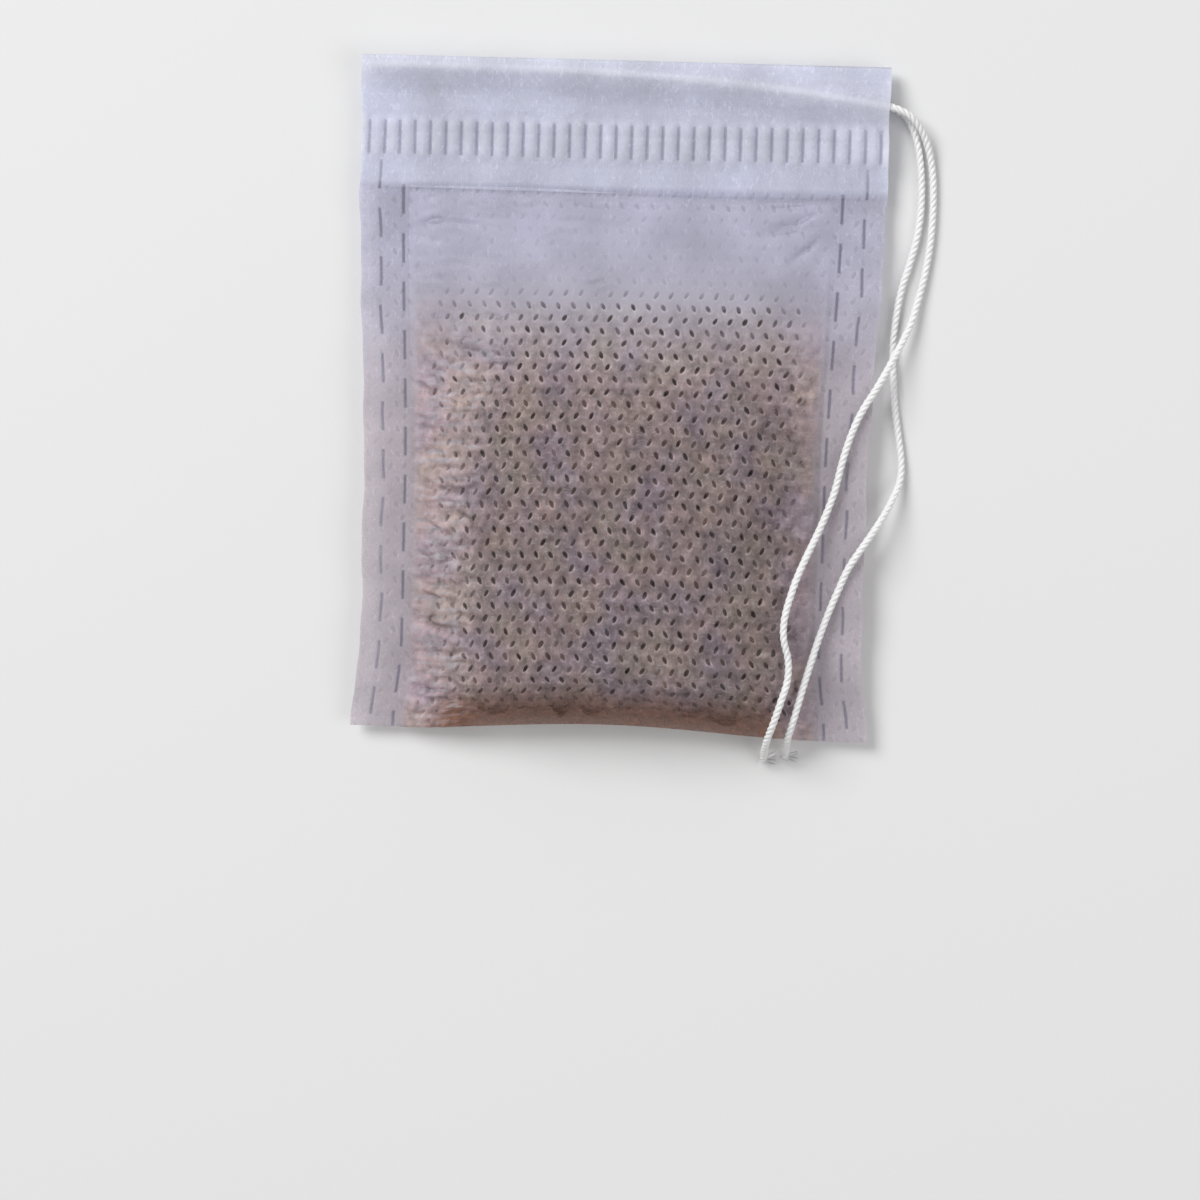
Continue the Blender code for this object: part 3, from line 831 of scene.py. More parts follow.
def kernel_tree(finish, forms):
    """One of the kernel forms on every point, turned, sized and shaded as the point says."""
    tree, points, (scale,) = geometry_tree("settled_kernels", ["Size"])
    choices = add(tree, "GeometryNodeJoinGeometry")
    for form in forms:
        told = add(tree, "GeometryNodeObjectInfo", {"Object": form, "As Instance": True})
        tree.links.new(told.outputs["Geometry"], choices.inputs["Geometry"])
    laid = add(
        tree,
        "GeometryNodeInstanceOnPoints",
        {
            "Points": points,
            "Instance": choices,
            "Pick Instance": True,
            "Instance Index": random_value(tree, "INT", 0, len(forms) - 1, 11),
            "Rotation": read_at_points(tree, "turn", "FLOAT_VECTOR"),
            "Scale": scale * read_at_points(tree, "size"),
        },
    )
    return handed_out(tree, laid, finish)


def note_at_points(mesh, label, values, kind="FLOAT", part="value"):
    """Writes a number, or three, at each of the mesh's points."""
    values = np.array(values, dtype=np.float32).ravel()
    mesh.attributes.new(label, kind, "POINT").data.foreach_set(part, values)


kernel_places, kernel_turns, kernel_sizes, kernel_shades = settled_kernels()
heap = bpy.data.meshes.new("heap")
heap.from_pydata([tuple(p) for p in kernel_places], [], [])
note_at_points(heap, "turn", kernel_turns, "FLOAT_VECTOR", "vector")
note_at_points(heap, "size", kernel_sizes)
note_at_points(heap, "shade", kernel_shades)
heap_points = put_in(bpy.data.objects.new("heap", heap))
kernel_forms = [
    kernel_form("kernel_plump", 0.10, 0.0004),
    kernel_form("kernel_ridged", 0.19, -0.0003),
    kernel_form("kernel_bent", 0.14, 0.0011),
]
tea_kernels = made_by(
    kernel_tree(kernel_finish(), kernel_forms), heap_points, "tea_kernels", {"Size": 1.0}
)
for form in kernel_forms:
    bpy.data.objects.remove(form)
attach(tea_kernels, "root")
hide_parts("tea_filling")


# The cloth. White spunbond non-woven, thin enough to show the tea, cut as one strip, folded across the
# bottom and turned in at both hems. Its filaments are bonded at slanted points in staggered rows. Bars
# welded across the hems hold their folds down, and two staggered rows of bars seal each side.

HEM_COLOUR = (0.865, 0.880, 0.975, 1.0)
# The ribs that puff up between the hem's weld bars are paler, a painted highlight.
RIB_HIGHLIGHT_COLOUR = (0.915, 0.920, 1.0, 1.0)
# Below the hem the same cloth takes darker colours as painted shade: darker than the hem, and darker and
# more mauve again towards the bottom.
POUCH_SHADED_COLOUR = (0.735, 0.730, 0.850, 1.0)
POUCH_LOW_SHADED_COLOUR = (0.715, 0.660, 0.710, 1.0)
# Over the tea the cloth turns a darker mauve: partly tea dust in the cloth, and partly painted shade over
# the full pouch.
DUST_AND_SHADE_COLOUR = (0.745, 0.590, 0.605, 1.0)
OLIVE_STAIN = (0.765, 0.625, 0.585, 1.0)
VIOLET_STAIN = (0.690, 0.565, 0.640, 1.0)
# Along the bottom fold the cloth turns dark brown: painted shade and a painted brown reflection.
FOLD_SHADE_AND_REFLECTION = (0.47, 0.245, 0.170, 1.0)
WELD_COLOUR = (0.34, 0.325, 0.43, 1.0)
BOND_PITCH_ACROSS = 0.00202
BOND_PITCH_ALONG = 0.00169
BOND_WIDTH = 0.00048
BOND_LENGTH = 0.00094
BOND_LEAN = math.radians(28)
BOND_DEPTH = 0.00008
BOND_EDGE = (1.9, 0.35)
BOND_NUDGE = (0.00028, 0.00024, 0.0)
FILAMENT_HEIGHT = 0.00005
# A painted highlight lies on a rim at the lower side of each bonded point.
RIM_HIGHLIGHT_SIDE = (0.6, 0.8)
RIM_HIGHLIGHT_EDGE = (4.4, 2.2)
RIM_HIGHLIGHT_REACH = 0.00035
WELD_WIDTH = 0.00038
WELD_DEPTH = 0.00009
HEM_WELD_PITCH = 0.00206
HEM_WELD_LENGTH = 0.0044
HEM_WELD_MIDDLE = 0.0110
HEM_PUCKER = 0.00038
RIB_ROUNDNESS = 0.6
SIDE_WELD_PITCH = 0.00645
SIDE_WELD_LENGTH = 0.0038
OUTER_ROW = (HALF_WIDTH - 0.0027, 0.01595)
INNER_ROW = (HALF_WIDTH - 0.0058, 0.01925)
CELL_ACROSS = 0.00025
CELL_ALONG = 0.00036
CLOTH_LENGTH = 0.098
CLOSE_ROWS = 0.012
TAUT_ROUNDS = 700
RAY_START = 0.002
RAY_LENGTH = 0.007
SAG = 0.6
MOST_BEND = 200
DEEPEST_START = 0.0006
HELD_BY_HEM = 0.001
HELD_BY_FOLD = 0.0004
LAYERS_APART = 0.0003
WRINKLE = 0.00018
WRINKLE_WAVE = 0.0003
WRINKLES_FROM_FOLD = 0.004
SEAL_FADE = 0.0015
HEM_GAP = 0.0006
LEFT_EDGE = -0.0165
LEFT_EDGE_SHIFT = 0.0060
LEFT_FADE = 0.007
RIGHT_EDGE = 0.0195
RIGHT_FADE = 0.006
RIGHT_WRINKLES = 0.35
EMPTY_WRINKLES = 0.15
EMPTY_WRINKLES_LEFT = 0.35
HEM_EDGE_STEP = 0.00028
HEM_EDGE_PLACE = 0.0007
HEM_EDGE_WAVE = 0.0004
HEM_EDGE_WIDTH = 0.0006
HEM_EDGE_SHADOW = 0.35
CREASE_DEPTH = 0.00050
CREASE_WIDTH = 0.00032
CREASE_SPREAD = 0.0005
SEAM_SWAY = 0.00022
EDGE_SWAY = 0.00010
EDGE_DRIFT = 0.0003
STAND_OFF_MOST = 0.003
STAND_OFF_OVER_TEA = 0.0012
WRINKLE_SHADING = 0.13
CREASE_SHADE = 0.22
FILL_VEIL = 0.42
LEFT_VEIL = 0.36
TOUCHING = 0.0006
STANDING_OFF = 0.0030
COVER_TAUT = 0.38
COVER_APART = 0.18
COVER_CLOUDS = 0.28
COVER_FILAMENTS = 0.10
COVER_THREADS = 0.42
COVER_TUFTS = 0.72
COVER_HEM = 0.14
RIB_HIGHLIGHT_COVER = 0.14
RIM_HIGHLIGHT_COVER = 0.16
COVER_MOST = 0.96
DOTS_TAUT = 0.78
DOTS_LOST_APART = 0.64
DOTS_LOST_CRUMPLED = 0.70
DOTS_IN_HEM = 0.25
DOTS_MOST = 0.82
DOT_DARKNESS = 0.58
RIM_HIGHLIGHT = 0.20
WELD_CLEARNESS = 0.30
HEM_WELD_MARK = 0.32
SIDE_WELD_MARK = 0.96
LIGHT_THROUGH = 0.54
WANDER = 480.0
CLOUDS = 700.0
FILAMENTS = 1300.0
FILAMENT_SHIFT = (0.013, 0.0091, 0.0)
FILAMENT_STRETCH = (1.0, 0.45, 1.0)
THREADS = 1250.0
THREAD_STRETCH = (0.24, 1.0, 1.0)
STAINS = 150.0
STAIN_SHIFT = (0.41, 0.13, 0.0)
TUFTS = 1900.0
TUFT_STRETCH = (0.7, 1.4, 1.0)
CREASES = (
    (-0.0262, 0.0262, -0.62, 0.0050),
    (-0.0268, 0.0228, -0.30, 0.0042),
    (0.0262, 0.0258, 0.50, 0.0046),
    (0.0266, 0.0222, 0.78, 0.0056),
    (0.0250, 0.0246, 0.28, 0.0060),
    (0.0268, 0.0272, 0.10, 0.0095),
    (0.0262, 0.0238, 0.16, 0.0080),
)

cloth_order = np.random.default_rng(23)


def ripples(u, y, count, along, across):
    """Irregular ripples, from waves whose lengths along y and x lie between the given limits."""
    total = np.zeros(np.broadcast(u, y).shape)
    for _ in range(count):
        wave = 1 / cloth_order.uniform(*along)
        drift = cloth_order.uniform(-1, 1) / cloth_order.uniform(*across)
        total = total + np.sin(2 * math.pi * (wave * y + drift * u + cloth_order.random()))
    return total / math.sqrt(count / 2)


def cloth_rows(u, side):
    """For each column u: evenly spaced y from the bottom fold up to the top, and the cloth's length."""
    close = BOTTOM + CLOSE_ROWS * (1 - np.cos(np.linspace(0, math.pi / 2, 160)))
    lie = np.concatenate([close, np.linspace(BOTTOM + CLOSE_ROWS, TOP, 400)[1:]])
    count = round(CLOTH_LENGTH / CELL_ALONG)
    rows, lengths = [], []
    for column in u:
        points = on_side(np.full_like(lie, column), lie, side)
        done = np.concatenate([[0], np.cumsum(np.linalg.norm(np.diff(points, axis=0), axis=1))])
        rows.append(np.interp(np.linspace(0, done[-1], count + 1), done, lie))
        lengths.append(done[-1])
    return np.array(rows), np.array(lengths)


def kernels_under(points, normals, free):
    """How far outside the form (or, as a minus, inside it) the first kernel under each point lies."""
    heap_tree = BVHTree.FromPolygons(
        [v.co for v in tea_kernels.data.vertices], [p.vertices for p in tea_kernels.data.polygons]
    )
    depth = np.full(points.shape[:2], RAY_START - RAY_LENGTH)
    for i, j in np.argwhere(free):
        normal = Vector(normals[i, j])
        start = Vector(points[i, j]) + normal * RAY_START
        hit, _, _, distance = heap_tree.ray_cast(start, -normal, RAY_LENGTH)
        if hit is not None:
            depth[i, j] = RAY_START - distance
    return depth


def taut(points, normals, under, free, rounds):
    """The offset at which cloth pulled over the kernels comes to rest. It is held where it isn't free."""
    along_i = np.linalg.norm(np.diff(points, axis=0), axis=-1).mean()
    along_j = np.linalg.norm(np.diff(points, axis=1), axis=-1).mean()
    weight_i, weight_j = 1 / along_i**2, 1 / along_j**2
    bend = np.zeros(points.shape[:2])
    for axis, weight in ((0, weight_i), (1, weight_j)):
        ahead = np.roll(points, -1, axis) + np.roll(points, 1, axis) - 2 * points
        bend += -(ahead * normals).sum(-1) * weight
    bend = np.clip(bend, -MOST_BEND, MOST_BEND) * SAG
    bend[~free] = 0
    offset = np.where(free, np.maximum(under, -DEEPEST_START), 0.0)
    whole = 2 * (weight_i + weight_j)
    for _ in range(rounds):
        pull = (np.roll(offset, 1, 0) + np.roll(offset, -1, 0)) * weight_i
        pull = pull + (np.roll(offset, 1, 1) + np.roll(offset, -1, 1)) * weight_j
        rest = (pull - bend) / whole
        offset = np.where(free, np.maximum(rest, under), 0.0)
    return offset


def swayed(points, u, y):
    """The points, once the side seals wave up and down and their raw edges in and out."""
    right = (u > 0) * 1.0
    flap = ease((np.abs(u) - POUCH_HALF) / 0.004) * ease((y - BOTTOM) / 0.008) * ease((TOP - y) / 0.006)
    rise = np.sin(300 * y + 0.6 + 2.2 * right) + 0.6 * np.sin(520 * y + 2.0 * right)
    aside = np.sin(410 * y + 1.7 * right) + 0.5 * np.sin(890 * y + 0.4 + right)
    points[..., 2] += flap * SEAM_SWAY * rise
    points[..., 0] += flap * EDGE_SWAY * aside
    return points


def creased(u, y):
    """Short folds that run in and down from the pouch's upper corners: (u, y, slope, length) each."""
    dip = np.zeros(u.shape)
    for at_u, at_y, slope, length in CREASES:
        inward = -np.sign(at_u)
        along = ((u - at_u) * inward - (y - at_y) * slope) / math.hypot(1, slope)
        away = ((y - at_y) + (u - at_u) * inward * slope) / math.hypot(1, slope)
        share = np.clip(along / length, 0, 1)
        keep = np.sin(math.pi * share) ** 0.7 * (along > 0) * (along < length)
        width = CREASE_WIDTH + CREASE_SPREAD * share
        dip = np.maximum(dip, keep * np.exp(-((away / width) ** 2)))
    return dip


def wrinkled(u, y):
    """Where the loose cloth is wrinkled, where at its left, how crumpled it is, and how its folds rise."""
    full = ease((y - BOTTOM) / WRINKLES_FROM_FOLD) * taper(y)
    inside = ease((POUCH_HALF - np.abs(u)) / SEAL_FADE)
    inside = inside * ease((HEM_EDGE - HEM_GAP - y) / SEAL_FADE)
    left_edge = LEFT_EDGE + LEFT_EDGE_SHIFT * ease((y - FILL_TOP + 0.024) / 0.022)
    left = ease((left_edge - u) / LEFT_FADE)
    lift = left * (0.55 + 0.45 * full) + RIGHT_WRINKLES * ease((u - RIGHT_EDGE) / RIGHT_FADE)
    empty = ease((y - FILL_TOP + 0.004) / 0.006)
    over_empty = EMPTY_WRINKLES + EMPTY_WRINKLES_LEFT * ease((0.004 - u) / 0.016)
    lift = lift + (over_empty - lift) * empty
    lift = lift * inside
    break_up = 0.6 + 0.5 * np.tanh(1.6 * ripples(u, y, 14, (0.002, 0.006), (0.003, 0.008)))
    wavy = y + WRINKLE_WAVE * ripples(u, y, 8, (0.006, 0.014), (0.003, 0.007))
    fine = ripples(u, wavy, 26, (0.0011, 0.0021), (0.0035, 0.012))
    broad = ripples(u, wavy, 12, (0.0022, 0.0048), (0.008, 0.025))
    crumple = lift * (fine * break_up + 0.6 * broad)
    return inside, left, lift * (0.5 + 0.5 * break_up), crumple


def outer_layer(u, y, side):
    """The cloth laid on the kernels, wrinkled and creased, and what to note at its points."""
    points = on_side(u, y, side)
    normals = outward(u, np.clip(y, BOTTOM + 0.0001, TOP), side)
    in_pouch = np.abs(u) < POUCH_HALF
    free = in_pouch & (y < HEM_EDGE - HELD_BY_HEM) & (y > BOTTOM + HELD_BY_FOLD)
    under = kernels_under(points, normals, free) + CLOTH
    offset = taut(points, normals, under, free, TAUT_ROUNDS)
    if side < 0:
        offset = np.minimum(offset, 0.0)
    room = np.abs(on_side(u, y, 1)[..., 2] - on_side(u, y, -1)[..., 2])
    offset = np.maximum(offset, -(room / 2 - LAYERS_APART).clip(0.0))
    inside, left, crumpled, crumple = wrinkled(u, y)
    creases = creased(u, y) * inside
    offset = offset + WRINKLE * crumple - CREASE_DEPTH * creases
    edge_line = HEM_EDGE_PLACE + HEM_EDGE_WAVE * np.sin(90 * u)
    edge = np.exp(-(((y - HEM_EDGE + edge_line) / HEM_EDGE_WIDTH) ** 2))
    offset = offset - HEM_EDGE_STEP * edge * in_pouch

    stand_off = np.where(free, np.clip(offset - under, 0.0, STAND_OFF_MOST), STAND_OFF_MOST)
    over_tea = ease((FILL_TOP + 0.0035 - y) / 0.0062)
    over_tea = over_tea * ease((POUCH_HALF - 0.0022 - np.abs(u)) / 0.002)
    close_by = np.minimum(stand_off, STAND_OFF_OVER_TEA)
    stand_off = stand_off + (close_by - stand_off) * over_tea
    veil = ease((y - FILL_TOP + 0.018) / 0.020) * ease((HEM_EDGE + 0.002 - y) / 0.008)
    # Painted light and shade in the cover: wrinkle crests are made more opaque and paler, and their
    # troughs and the creases more see-through and darker. A band along the hem's lower edge is darkened
    # the same way, a painted shadow that is stronger to the left.
    painted_edge_shadow = HEM_EDGE_SHADOW * edge * ease((0.020 - u) / 0.03) * in_pouch
    cover = WRINKLE_SHADING * crumple - CREASE_SHADE * (creases + painted_edge_shadow)
    cover = cover + FILL_VEIL * veil * in_pouch
    cover = cover + LEFT_VEIL * left * inside * (1 - veil)
    # Along the bottom fold, painted shade and a painted brown reflection darken the cloth. This share is
    # noted on top of the dust and shade one, above 1.
    settled = ease((BOTTOM + 0.0075 - y) / 0.0065) * ease((POUCH_HALF - 0.0025 - np.abs(u)) / 0.005)
    # Over the tea and a little above it: the share of the cloth's colour given to tea dust and painted
    # shade.
    dusted = ease((FILL_TOP + 0.003 - y) / 0.016)
    dusted = dusted * ease((POUCH_HALF - np.abs(u)) / 0.0016) * ease((HEM_EDGE - y) / 0.001)
    points = swayed(points + normals * offset[..., None], u, y)
    if side < 0:
        points[..., 2] = np.maximum(points[..., 2], CLOTH / 2)
    noted = {
        "stand_off": (stand_off, STAND_OFF_MOST),
        "dusted": (dusted + settled, 0.0),
        "cover": (cover, 0.0),
        "crumpled": (crumpled, 0.0),
    }
    return points, noted


def turned_layer(across, down, side):
    """The hem's turned part, from the top down inside the mouth to its raw edge."""
    u = np.broadcast_to(across[:, None], (len(across), len(down)))
    y = TOP - np.broadcast_to(down[None, :], u.shape)
    z = HEM_MIDDLE + side * (MOUTH_GAP / 2 + CLOTH / 2) + 0 * y
    x, along = plan(u, y)
    edge_drift = EDGE_DRIFT * ripples(u, 0 * u, 5, (0.5, 1.0), (0.02, 0.06))
    along = along + edge_drift * (down / HEM_DEPTH)[None, :] ** 4
    return swayed(np.stack([x, along, z], axis=-1), u, y)


def cloth_strip(name, side):
    """Half of the strip: the front or the back, from the bottom fold up, over the top and back down."""
    across = np.linspace(-HALF_WIDTH, HALF_WIDTH, round(2 * HALF_WIDTH / CELL_ACROSS) + 1)
    down = np.linspace(0, HEM_DEPTH, round(HEM_DEPTH / CELL_ALONG) + 1)[1:]
    rows, lengths = cloth_rows(across, side)
    points, noted = outer_layer(np.broadcast_to(across[:, None], rows.shape), rows, side)
    grid = np.concatenate([points, turned_layer(across, down, side)], axis=1)
    run = np.linspace(0, 1, rows.shape[1])[None, :] * lengths[:, None]
    hem_shape = (len(across), len(down))
    beyond = -np.broadcast_to(down[None, :], hem_shape)
    flat_v = np.concatenate([lengths[:, None] - run, beyond], axis=1)
    flat_u = np.broadcast_to(across[:, None], flat_v.shape)
    flat = np.stack([flat_u.reshape(-1), flat_v.reshape(-1)], axis=-1)

    index = np.arange(flat_v.size).reshape(flat_v.shape)
    corners = [index[:-1, :-1], index[1:, :-1], index[1:, 1:], index[:-1, 1:]]
    faces = np.stack(corners, axis=-1).reshape(-1, 4)
    if side < 0:
        faces = faces[:, ::-1]
    mesh = bpy.data.meshes.new(name)
    mesh.vertices.add(flat_v.size)
    mesh.vertices.foreach_set("co", grid.reshape(-1))
    mesh.loops.add(faces.size)
    mesh.loops.foreach_set("vertex_index", faces.reshape(-1))
    mesh.polygons.add(len(faces))
    mesh.polygons.foreach_set("loop_start", np.arange(0, faces.size, 4))
    mesh.update(calc_edges=True)
    mesh.shade_smooth()
    layer = mesh.uv_layers.new(name="flat")
    layer.data.foreach_set("uv", flat[faces.reshape(-1)].astype(np.float32).reshape(-1))
    laid_flat = np.column_stack([flat, np.zeros(len(flat))])
    note_at_points(mesh, "flat_place", laid_flat, "FLOAT_VECTOR", "vector")
    for label, (outer, in_hem) in noted.items():
        whole = np.concatenate([outer, np.full(hem_shape, in_hem)], axis=1)
        note_at_points(mesh, label, whole)
    cells = np.cross(grid[1:, :-1] - grid[:-1, :-1], grid[:-1, 1:] - grid[:-1, :-1])
    strip = put_in(bpy.data.objects.new(name, mesh))
    return strip, float(np.linalg.norm(cells, axis=-1).sum())


def soft_step(field, zero_at, one_at):
    """0 on one side of a limit and 1 on the other, with a soft change between them."""
    node = add(
        field.tree,
        "ShaderNodeMapRange",
        {"Value": field, "From Min": zero_at, "From Max": one_at},
        interpolation_type="SMOOTHSTEP",
    )
    return Field(field.tree, node.outputs["Result"])


def across_and_along(tree, place):
    parts = add(tree, "ShaderNodeSeparateXYZ", {"Vector": place}).outputs
    return Field(tree, parts["X"]), Field(tree, parts["Y"])


def bond_field(across, along):
    """The bonded points, slanted ovals in staggered rows that lean in turn, and a painted highlight on the
    rim below each.
    """
    rows = along / BOND_PITCH_ALONG
    odd = rows.worked("FLOOR").worked("FLOORED_MODULO", 2.0)
    columns = odd * 0.5 + across / BOND_PITCH_ACROSS
    x = (columns.worked("FRACT") - 0.5) * BOND_PITCH_ACROSS
    y = (rows.worked("FRACT") - 0.5) * BOND_PITCH_ALONG
    lean = odd * (-2 * BOND_LEAN) + BOND_LEAN
    cosine, sine = lean.worked("COSINE"), lean.worked("SINE")
    wide = (x * cosine + y * sine) / (BOND_WIDTH / 2)
    tall = (y * cosine - x * sine) / (BOND_LENGTH / 2)
    oval = wide * wide + tall * tall
    pressed = soft_step(oval, *BOND_EDGE)
    below = x * RIM_HIGHLIGHT_SIDE[0] + y * RIM_HIGHLIGHT_SIDE[1]
    rim_highlight = soft_step(oval, *RIM_HIGHLIGHT_EDGE) * soft_step(below, 0.0, RIM_HIGHLIGHT_REACH)
    return pressed, rim_highlight * (1.0 - pressed)


def clamped(field, most=1.0):
    node = add(field.tree, "ShaderNodeClamp", {"Value": field, "Max": most})
    return Field(field.tree, node.outputs["Result"])


def bar_field(across, along, width, length):
    """1 in a bar of that width and length, given how far its middle is across and along."""
    wide = soft_step(abs(across), width / 2 + 0.00012, width / 2 - 0.00012)
    tall = soft_step(abs(along), length / 2 + 0.0002, length / 2 - 0.0001)
    return wide * tall


def repeated(field, pitch, start):
    """How far the field is from the nearest of the places start + n * pitch."""
    turns = (field - start) / pitch
    return ((turns + 0.5).worked("FRACT") - 0.5) * pitch


def weld_field(across, along):
    """1 in the weld bars across the hem and in the two rows of bars down each side."""
    hem_bars = repeated(across, HEM_WELD_PITCH, HEM_WELD_PITCH / 2)
    welded = bar_field(hem_bars, along - HEM_WELD_MIDDLE, WELD_WIDTH, HEM_WELD_LENGTH)
    for place, start in (OUTER_ROW, INNER_ROW):
        side_bars = repeated(along, SIDE_WELD_PITCH, start)
        row = bar_field(abs(across) - place, side_bars, WELD_WIDTH, SIDE_WELD_LENGTH)
        begun = soft_step(along, start - SIDE_WELD_LENGTH * 0.7, start - SIDE_WELD_LENGTH * 0.6)
        welded = welded.worked("MAXIMUM", row * begun)
    return welded


def pressed_tree(finish):
    """Presses the bonded points and the weld bars into the cloth, and lets it puff up between bars."""
    tree, cloth, (bond_depth, weld_depth, pucker) = geometry_tree(
        "pressed_marks", ["Bond depth", "Weld depth", "Pucker"]
    )
    across, along = across_and_along(tree, read_at_points(tree, "flat_place", "FLOAT_VECTOR"))
    bond, _ = bond_field(across, along)
    weld = weld_field(across, abs(along))
    plain = 1.0 - weld
    between = abs(repeated(across, HEM_WELD_PITCH, HEM_WELD_PITCH / 2))
    swell = soft_step(between, 0.0, HEM_WELD_PITCH / 2) ** RIB_ROUNDNESS
    beside = abs(along - HEM_WELD_MIDDLE)
    band = soft_step(beside, HEM_WELD_LENGTH / 2 + 0.0012, HEM_WELD_LENGTH / 2 - 0.0006)
    rib = swell * band * plain
    taut_here = (read_at_points(tree, "dusted") * 0.95 + 0.03).worked("MINIMUM", 1.0)
    rise = rib * pucker - weld * weld_depth - bond * plain * (taut_here * bond_depth)
    outer_side = soft_step(along, -0.0002, 0.0004)
    normal = add(tree, "GeometryNodeInputNormal").outputs["Normal"]
    ribbed = add(
        tree,
        "GeometryNodeStoreNamedAttribute",
        {"Geometry": cloth, "Name": "rib", "Value": rib},
        data_type="FLOAT",
        domain="POINT",
    )
    push = scaled(tree, normal, rise * outer_side)
    moved = add(tree, "GeometryNodeSetPosition", {"Geometry": ribbed, "Offset": push})
    return handed_out(tree, moved, finish)


def cloth_finish():
    """White filaments over clear gaps, thicker and thinner in clouds, glassy where bonded or welded."""
    finish, tree, shader = new_finish("filter_cloth", Roughness=0.85, Specular_IOR_Level=0.0)
    stand_off, dusted, cover_here, crumpled, rib = [
        Field(tree, add(tree, "ShaderNodeAttribute", attribute_name=label).outputs["Fac"])
        for label in ("stand_off", "dusted", "cover", "crumpled", "rib")
    ]
    flat = add(tree, "ShaderNodeUVMap", uv_map="flat").outputs["UV"]
    across, along = across_and_along(tree, flat)
    from_fold = abs(along)
    weld = weld_field(across, from_fold)
    below_hem = soft_step(from_fold, HEM_DEPTH - 0.0004, HEM_DEPTH + 0.0006)
    low = soft_step(from_fold, HEM_DEPTH + 0.004, HEM_DEPTH + 0.034)

    wander = noise(tree, flat, WANDER, 0.0, noise_dimensions="2D").outputs
    nudge = vectors(tree, "SUBTRACT", wander["Color"], (0.5, 0.5, 0.5))
    nudged = vectors(tree, "ADD", flat, vectors(tree, "MULTIPLY", nudge, BOND_NUDGE))
    bond, rim_highlight = bond_field(*across_and_along(tree, nudged))

    def marks(where, scale, detail, roughness=0.5):
        laid = noise(tree, where, scale, detail, roughness, noise_dimensions="2D")
        return Field(tree, laid.outputs["Fac"])

    clouds = marks(flat, CLOUDS, 2.0, 0.6)
    winding = {"Vector": flat, "Location": FILAMENT_SHIFT, "Scale": FILAMENT_STRETCH}
    filaments = marks(add(tree, "ShaderNodeMapping", winding), FILAMENTS, 1.0)
    filaments = soft_step(abs(filaments - 0.5), 0.035, 0.0)
    threads = marks(vectors(tree, "MULTIPLY", nudged, THREAD_STRETCH), THREADS, 1.0)
    threads = soft_step(threads, 0.47, 0.66) * crumpled
    stained = vectors(tree, "ADD", flat, STAIN_SHIFT)
    stains = noise(tree, stained, STAINS, 1.0, noise_dimensions="2D").outputs["Color"]
    warm, thick, tufty = [
        Field(tree, socket)
        for socket in add(tree, "ShaderNodeSeparateColor", {"Color": stains}).outputs
    ]
    away_from_fold_shade = clamped(2.0 - dusted)
    tufts = marks(vectors(tree, "MULTIPLY", flat, TUFT_STRETCH), TUFTS, 0.0)
    tufts = soft_step(tufts + (tufty * 0.3 - 0.15), 0.69, 0.83) * (dusted * away_from_fold_shade)

    apart = soft_step(stand_off, TOUCHING, STANDING_OFF)
    uneven = thick * 0.9 - 0.05 + Field(tree, wander["Fac"]) * 1.2
    dots = (DOTS_TAUT - apart * DOTS_LOST_APART) * uneven
    dots = dots * ((1.0 - crumpled * DOTS_LOST_CRUMPLED) * away_from_fold_shade)
    dots = clamped(dots * (below_hem * (1.0 - DOTS_IN_HEM) + DOTS_IN_HEM), DOTS_MOST)
    rim_highlight = rim_highlight * dots

    density = apart * COVER_APART + COVER_TAUT + cover_here
    density = density + clouds * COVER_CLOUDS + filaments * COVER_FILAMENTS
    # Painted highlight: the hem's ribs are made more opaque, and so paler.
    density = density + threads * COVER_THREADS + rib * RIB_HIGHLIGHT_COVER
    density = density + (1.0 - below_hem) * COVER_HEM
    # Painted highlight: the rim below each bonded point is made more opaque, and so paler.
    density = density.worked("MAXIMUM", tufts * COVER_TUFTS) + rim_highlight * RIM_HIGHLIGHT_COVER
    clear = (1.0 - bond * dots) * (1.0 - weld * WELD_CLEARNESS)
    cover = clamped(density * clear, COVER_MOST)

    # The bonded points are darker, and the rim below each one has a painted highlight.
    shade = 1.0 - bond * (dots * DOT_DARKNESS) + rim_highlight * RIM_HIGHLIGHT
    mottle = (clouds * 1.1 + 0.45) ** dusted.worked("MINIMUM", 1.0)
    shade = shade * (thick * 0.30 + 0.85) * mottle * (filaments * 0.10 + 0.92)

    # Over the tea: tea dust with olive and violet stains, darkened further by painted shade.
    stain_and_shade = blended(tree, soft_step(warm, 0.48, 0.74), DUST_AND_SHADE_COLOUR, OLIVE_STAIN)
    stain_and_shade = blended(tree, soft_step(warm, 0.52, 0.30), stain_and_shade, VIOLET_STAIN)
    # Above 1, the share gives the painted shade and brown reflection along the bottom fold.
    settled = (dusted - 1.0).worked("MAXIMUM", 0.0) * 0.95
    stain_and_shade = blended(tree, settled, stain_and_shade, FOLD_SHADE_AND_REFLECTION)
    # Painted shade: below the hem the cloth is darker than in the hem, and darker and more mauve again
    # towards the bottom.
    pouch = blended(tree, low, POUCH_SHADED_COLOUR, POUCH_LOW_SHADED_COLOUR)
    # Painted highlight: the hem's ribs are paler than the rest of the hem.
    tint = blended(tree, below_hem, blended(tree, rib, HEM_COLOUR, RIB_HIGHLIGHT_COLOUR), pouch)
    bare = 1.0 - (tufts * 0.6).worked("MAXIMUM", threads)
    tint = blended(tree, dusted.worked("MINIMUM", 1.0) * bare, tint, stain_and_shade)
    marked = weld * (below_hem * (SIDE_WELD_MARK - HEM_WELD_MARK) + HEM_WELD_MARK)
    tint = blended(tree, marked, tint, WELD_COLOUR)

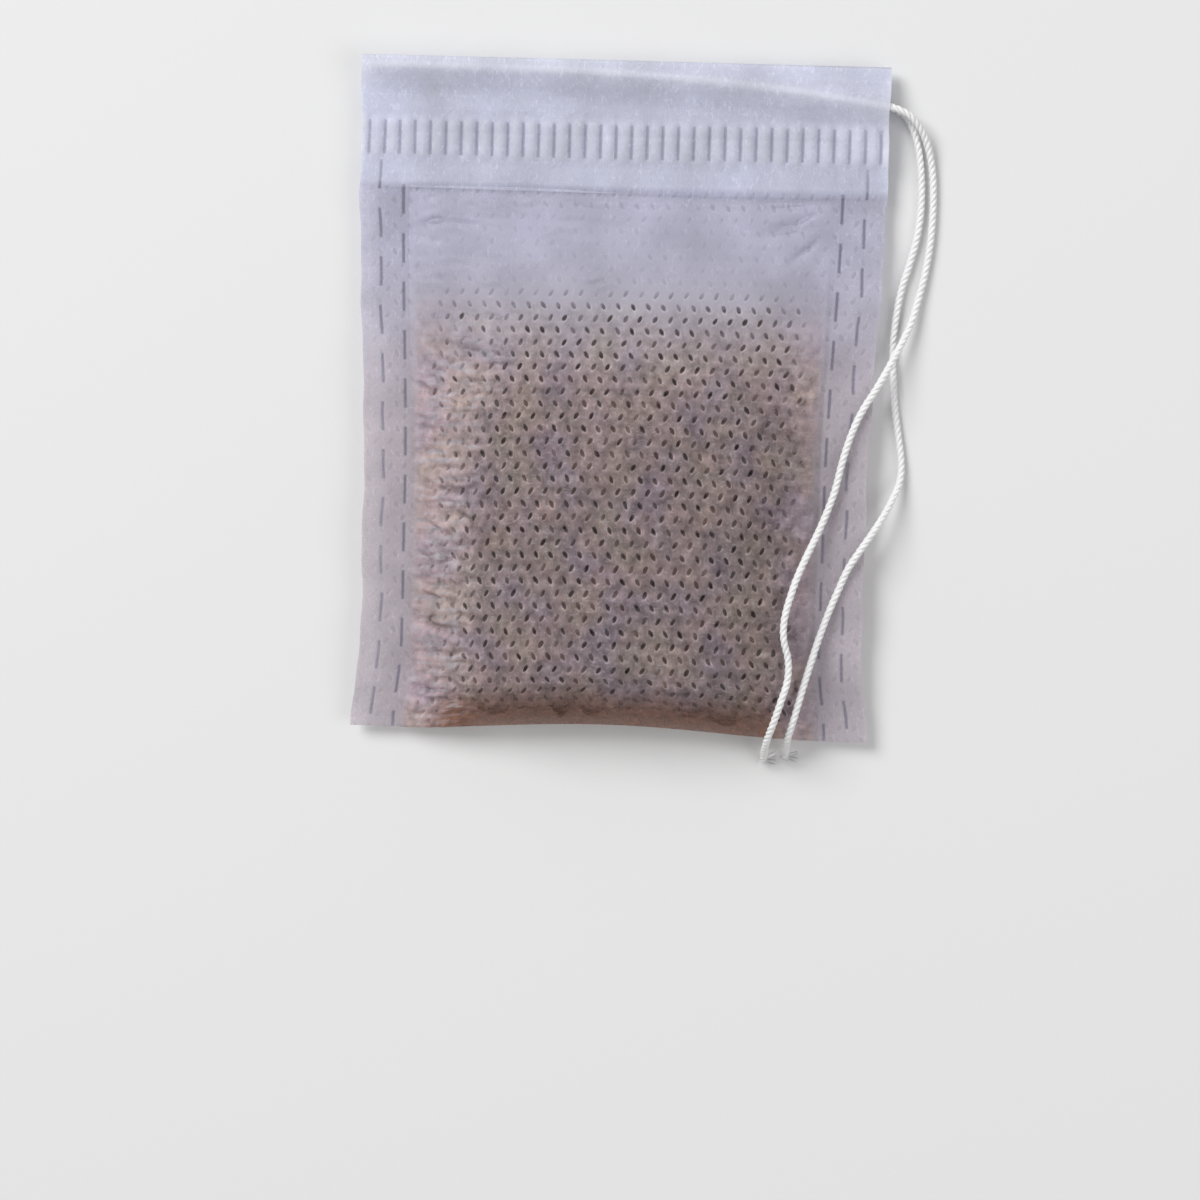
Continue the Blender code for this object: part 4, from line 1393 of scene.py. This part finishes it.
    colour = scaled(tree, tint, shade)
    tree.links.new(colour, shader.inputs["Base Color"])
    normal = bumped(tree, shader, filaments, 0.4, FILAMENT_HEIGHT)
    glow = add(tree, "ShaderNodeBsdfTranslucent", {"Color": colour, "Normal": normal})
    body = add(tree, "ShaderNodeMixShader", {0: LIGHT_THROUGH, 1: shader, 2: glow})
    gap = add(tree, "ShaderNodeBsdfTransparent")
    whole = add(tree, "ShaderNodeMixShader", {0: cover, 1: gap, 2: body})
    tree.links.new(whole.outputs["Shader"], tree.nodes["Material Output"].inputs["Surface"])
    return finish


cloth_material = cloth_finish()
marks_tree = pressed_tree(cloth_material)
for strip_name, strip_side in (("bag_front", 1), ("bag_back", -1)):
    flat_strip, strip_area = cloth_strip(strip_name + "_form", strip_side)
    strip = made_by(
        marks_tree,
        flat_strip,
        strip_name,
        {"Bond depth": BOND_DEPTH, "Weld depth": WELD_DEPTH, "Pucker": HEM_PUCKER},
    )
    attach(strip, "root")
    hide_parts("bag")


# The floor that the bag lies on: a plain pale table top, matt and even, and wide enough to fill the
# view. It lies a hair under the bag, so that the two never share a plane.

FLOOR_COLOUR = (0.72, 0.72, 0.72, 1.0)
FLOOR_HALF = 1.0
FLOOR_GAP = 0.00005

floor_mesh = bpy.data.meshes.new("floor")
floor_corners = [(x * FLOOR_HALF, y * FLOOR_HALF, 0) for x, y in ((-1, -1), (1, -1), (1, 1), (-1, 1))]
floor_mesh.from_pydata(floor_corners, [], [(0, 1, 2, 3)])
floor = put_in(bpy.data.objects.new("floor", floor_mesh))
floor_finish, _, _ = new_finish(
    "floor", Base_Color=FLOOR_COLOUR, Roughness=0.9, Specular_IOR_Level=0.1
)
floor_mesh.materials.append(floor_finish)
floor.location.z = -FLOOR_GAP


# The light. A broad soft lamp stands at the upper left of the view, and a weaker one at its right
# fills the shadows. The room around them is even and white.

KEY_LAMP = ("key", (-0.73, 0.68, 0.91), 0.75, 16.0)
FILL_LAMP = ("fill", (0.60, -0.15, 0.60), 0.6, 1.6)
ROOM_COLOUR = (1.0, 1.0, 1.0, 1.0)
ROOM_LIGHT = 0.43


def soft_lamp(name, place, size, power):
    data = bpy.data.lights.new(name, "AREA")
    data.shape = "DISK"
    data.size = size
    data.energy = power
    lamp = put_in(bpy.data.objects.new(name, data))
    lamp.location = place
    lamp.rotation_euler = (-Vector(place)).to_track_quat("-Z", "Y").to_euler()


soft_lamp(*KEY_LAMP)
soft_lamp(*FILL_LAMP)
room_light = bpy.data.worlds.new("room")
room_light.use_nodes = True
all_round = room_light.node_tree.nodes["Background"]
all_round.inputs["Color"].default_value = ROOM_COLOUR
all_round.inputs["Strength"].default_value = ROOM_LIGHT
bpy.context.scene.world = room_light
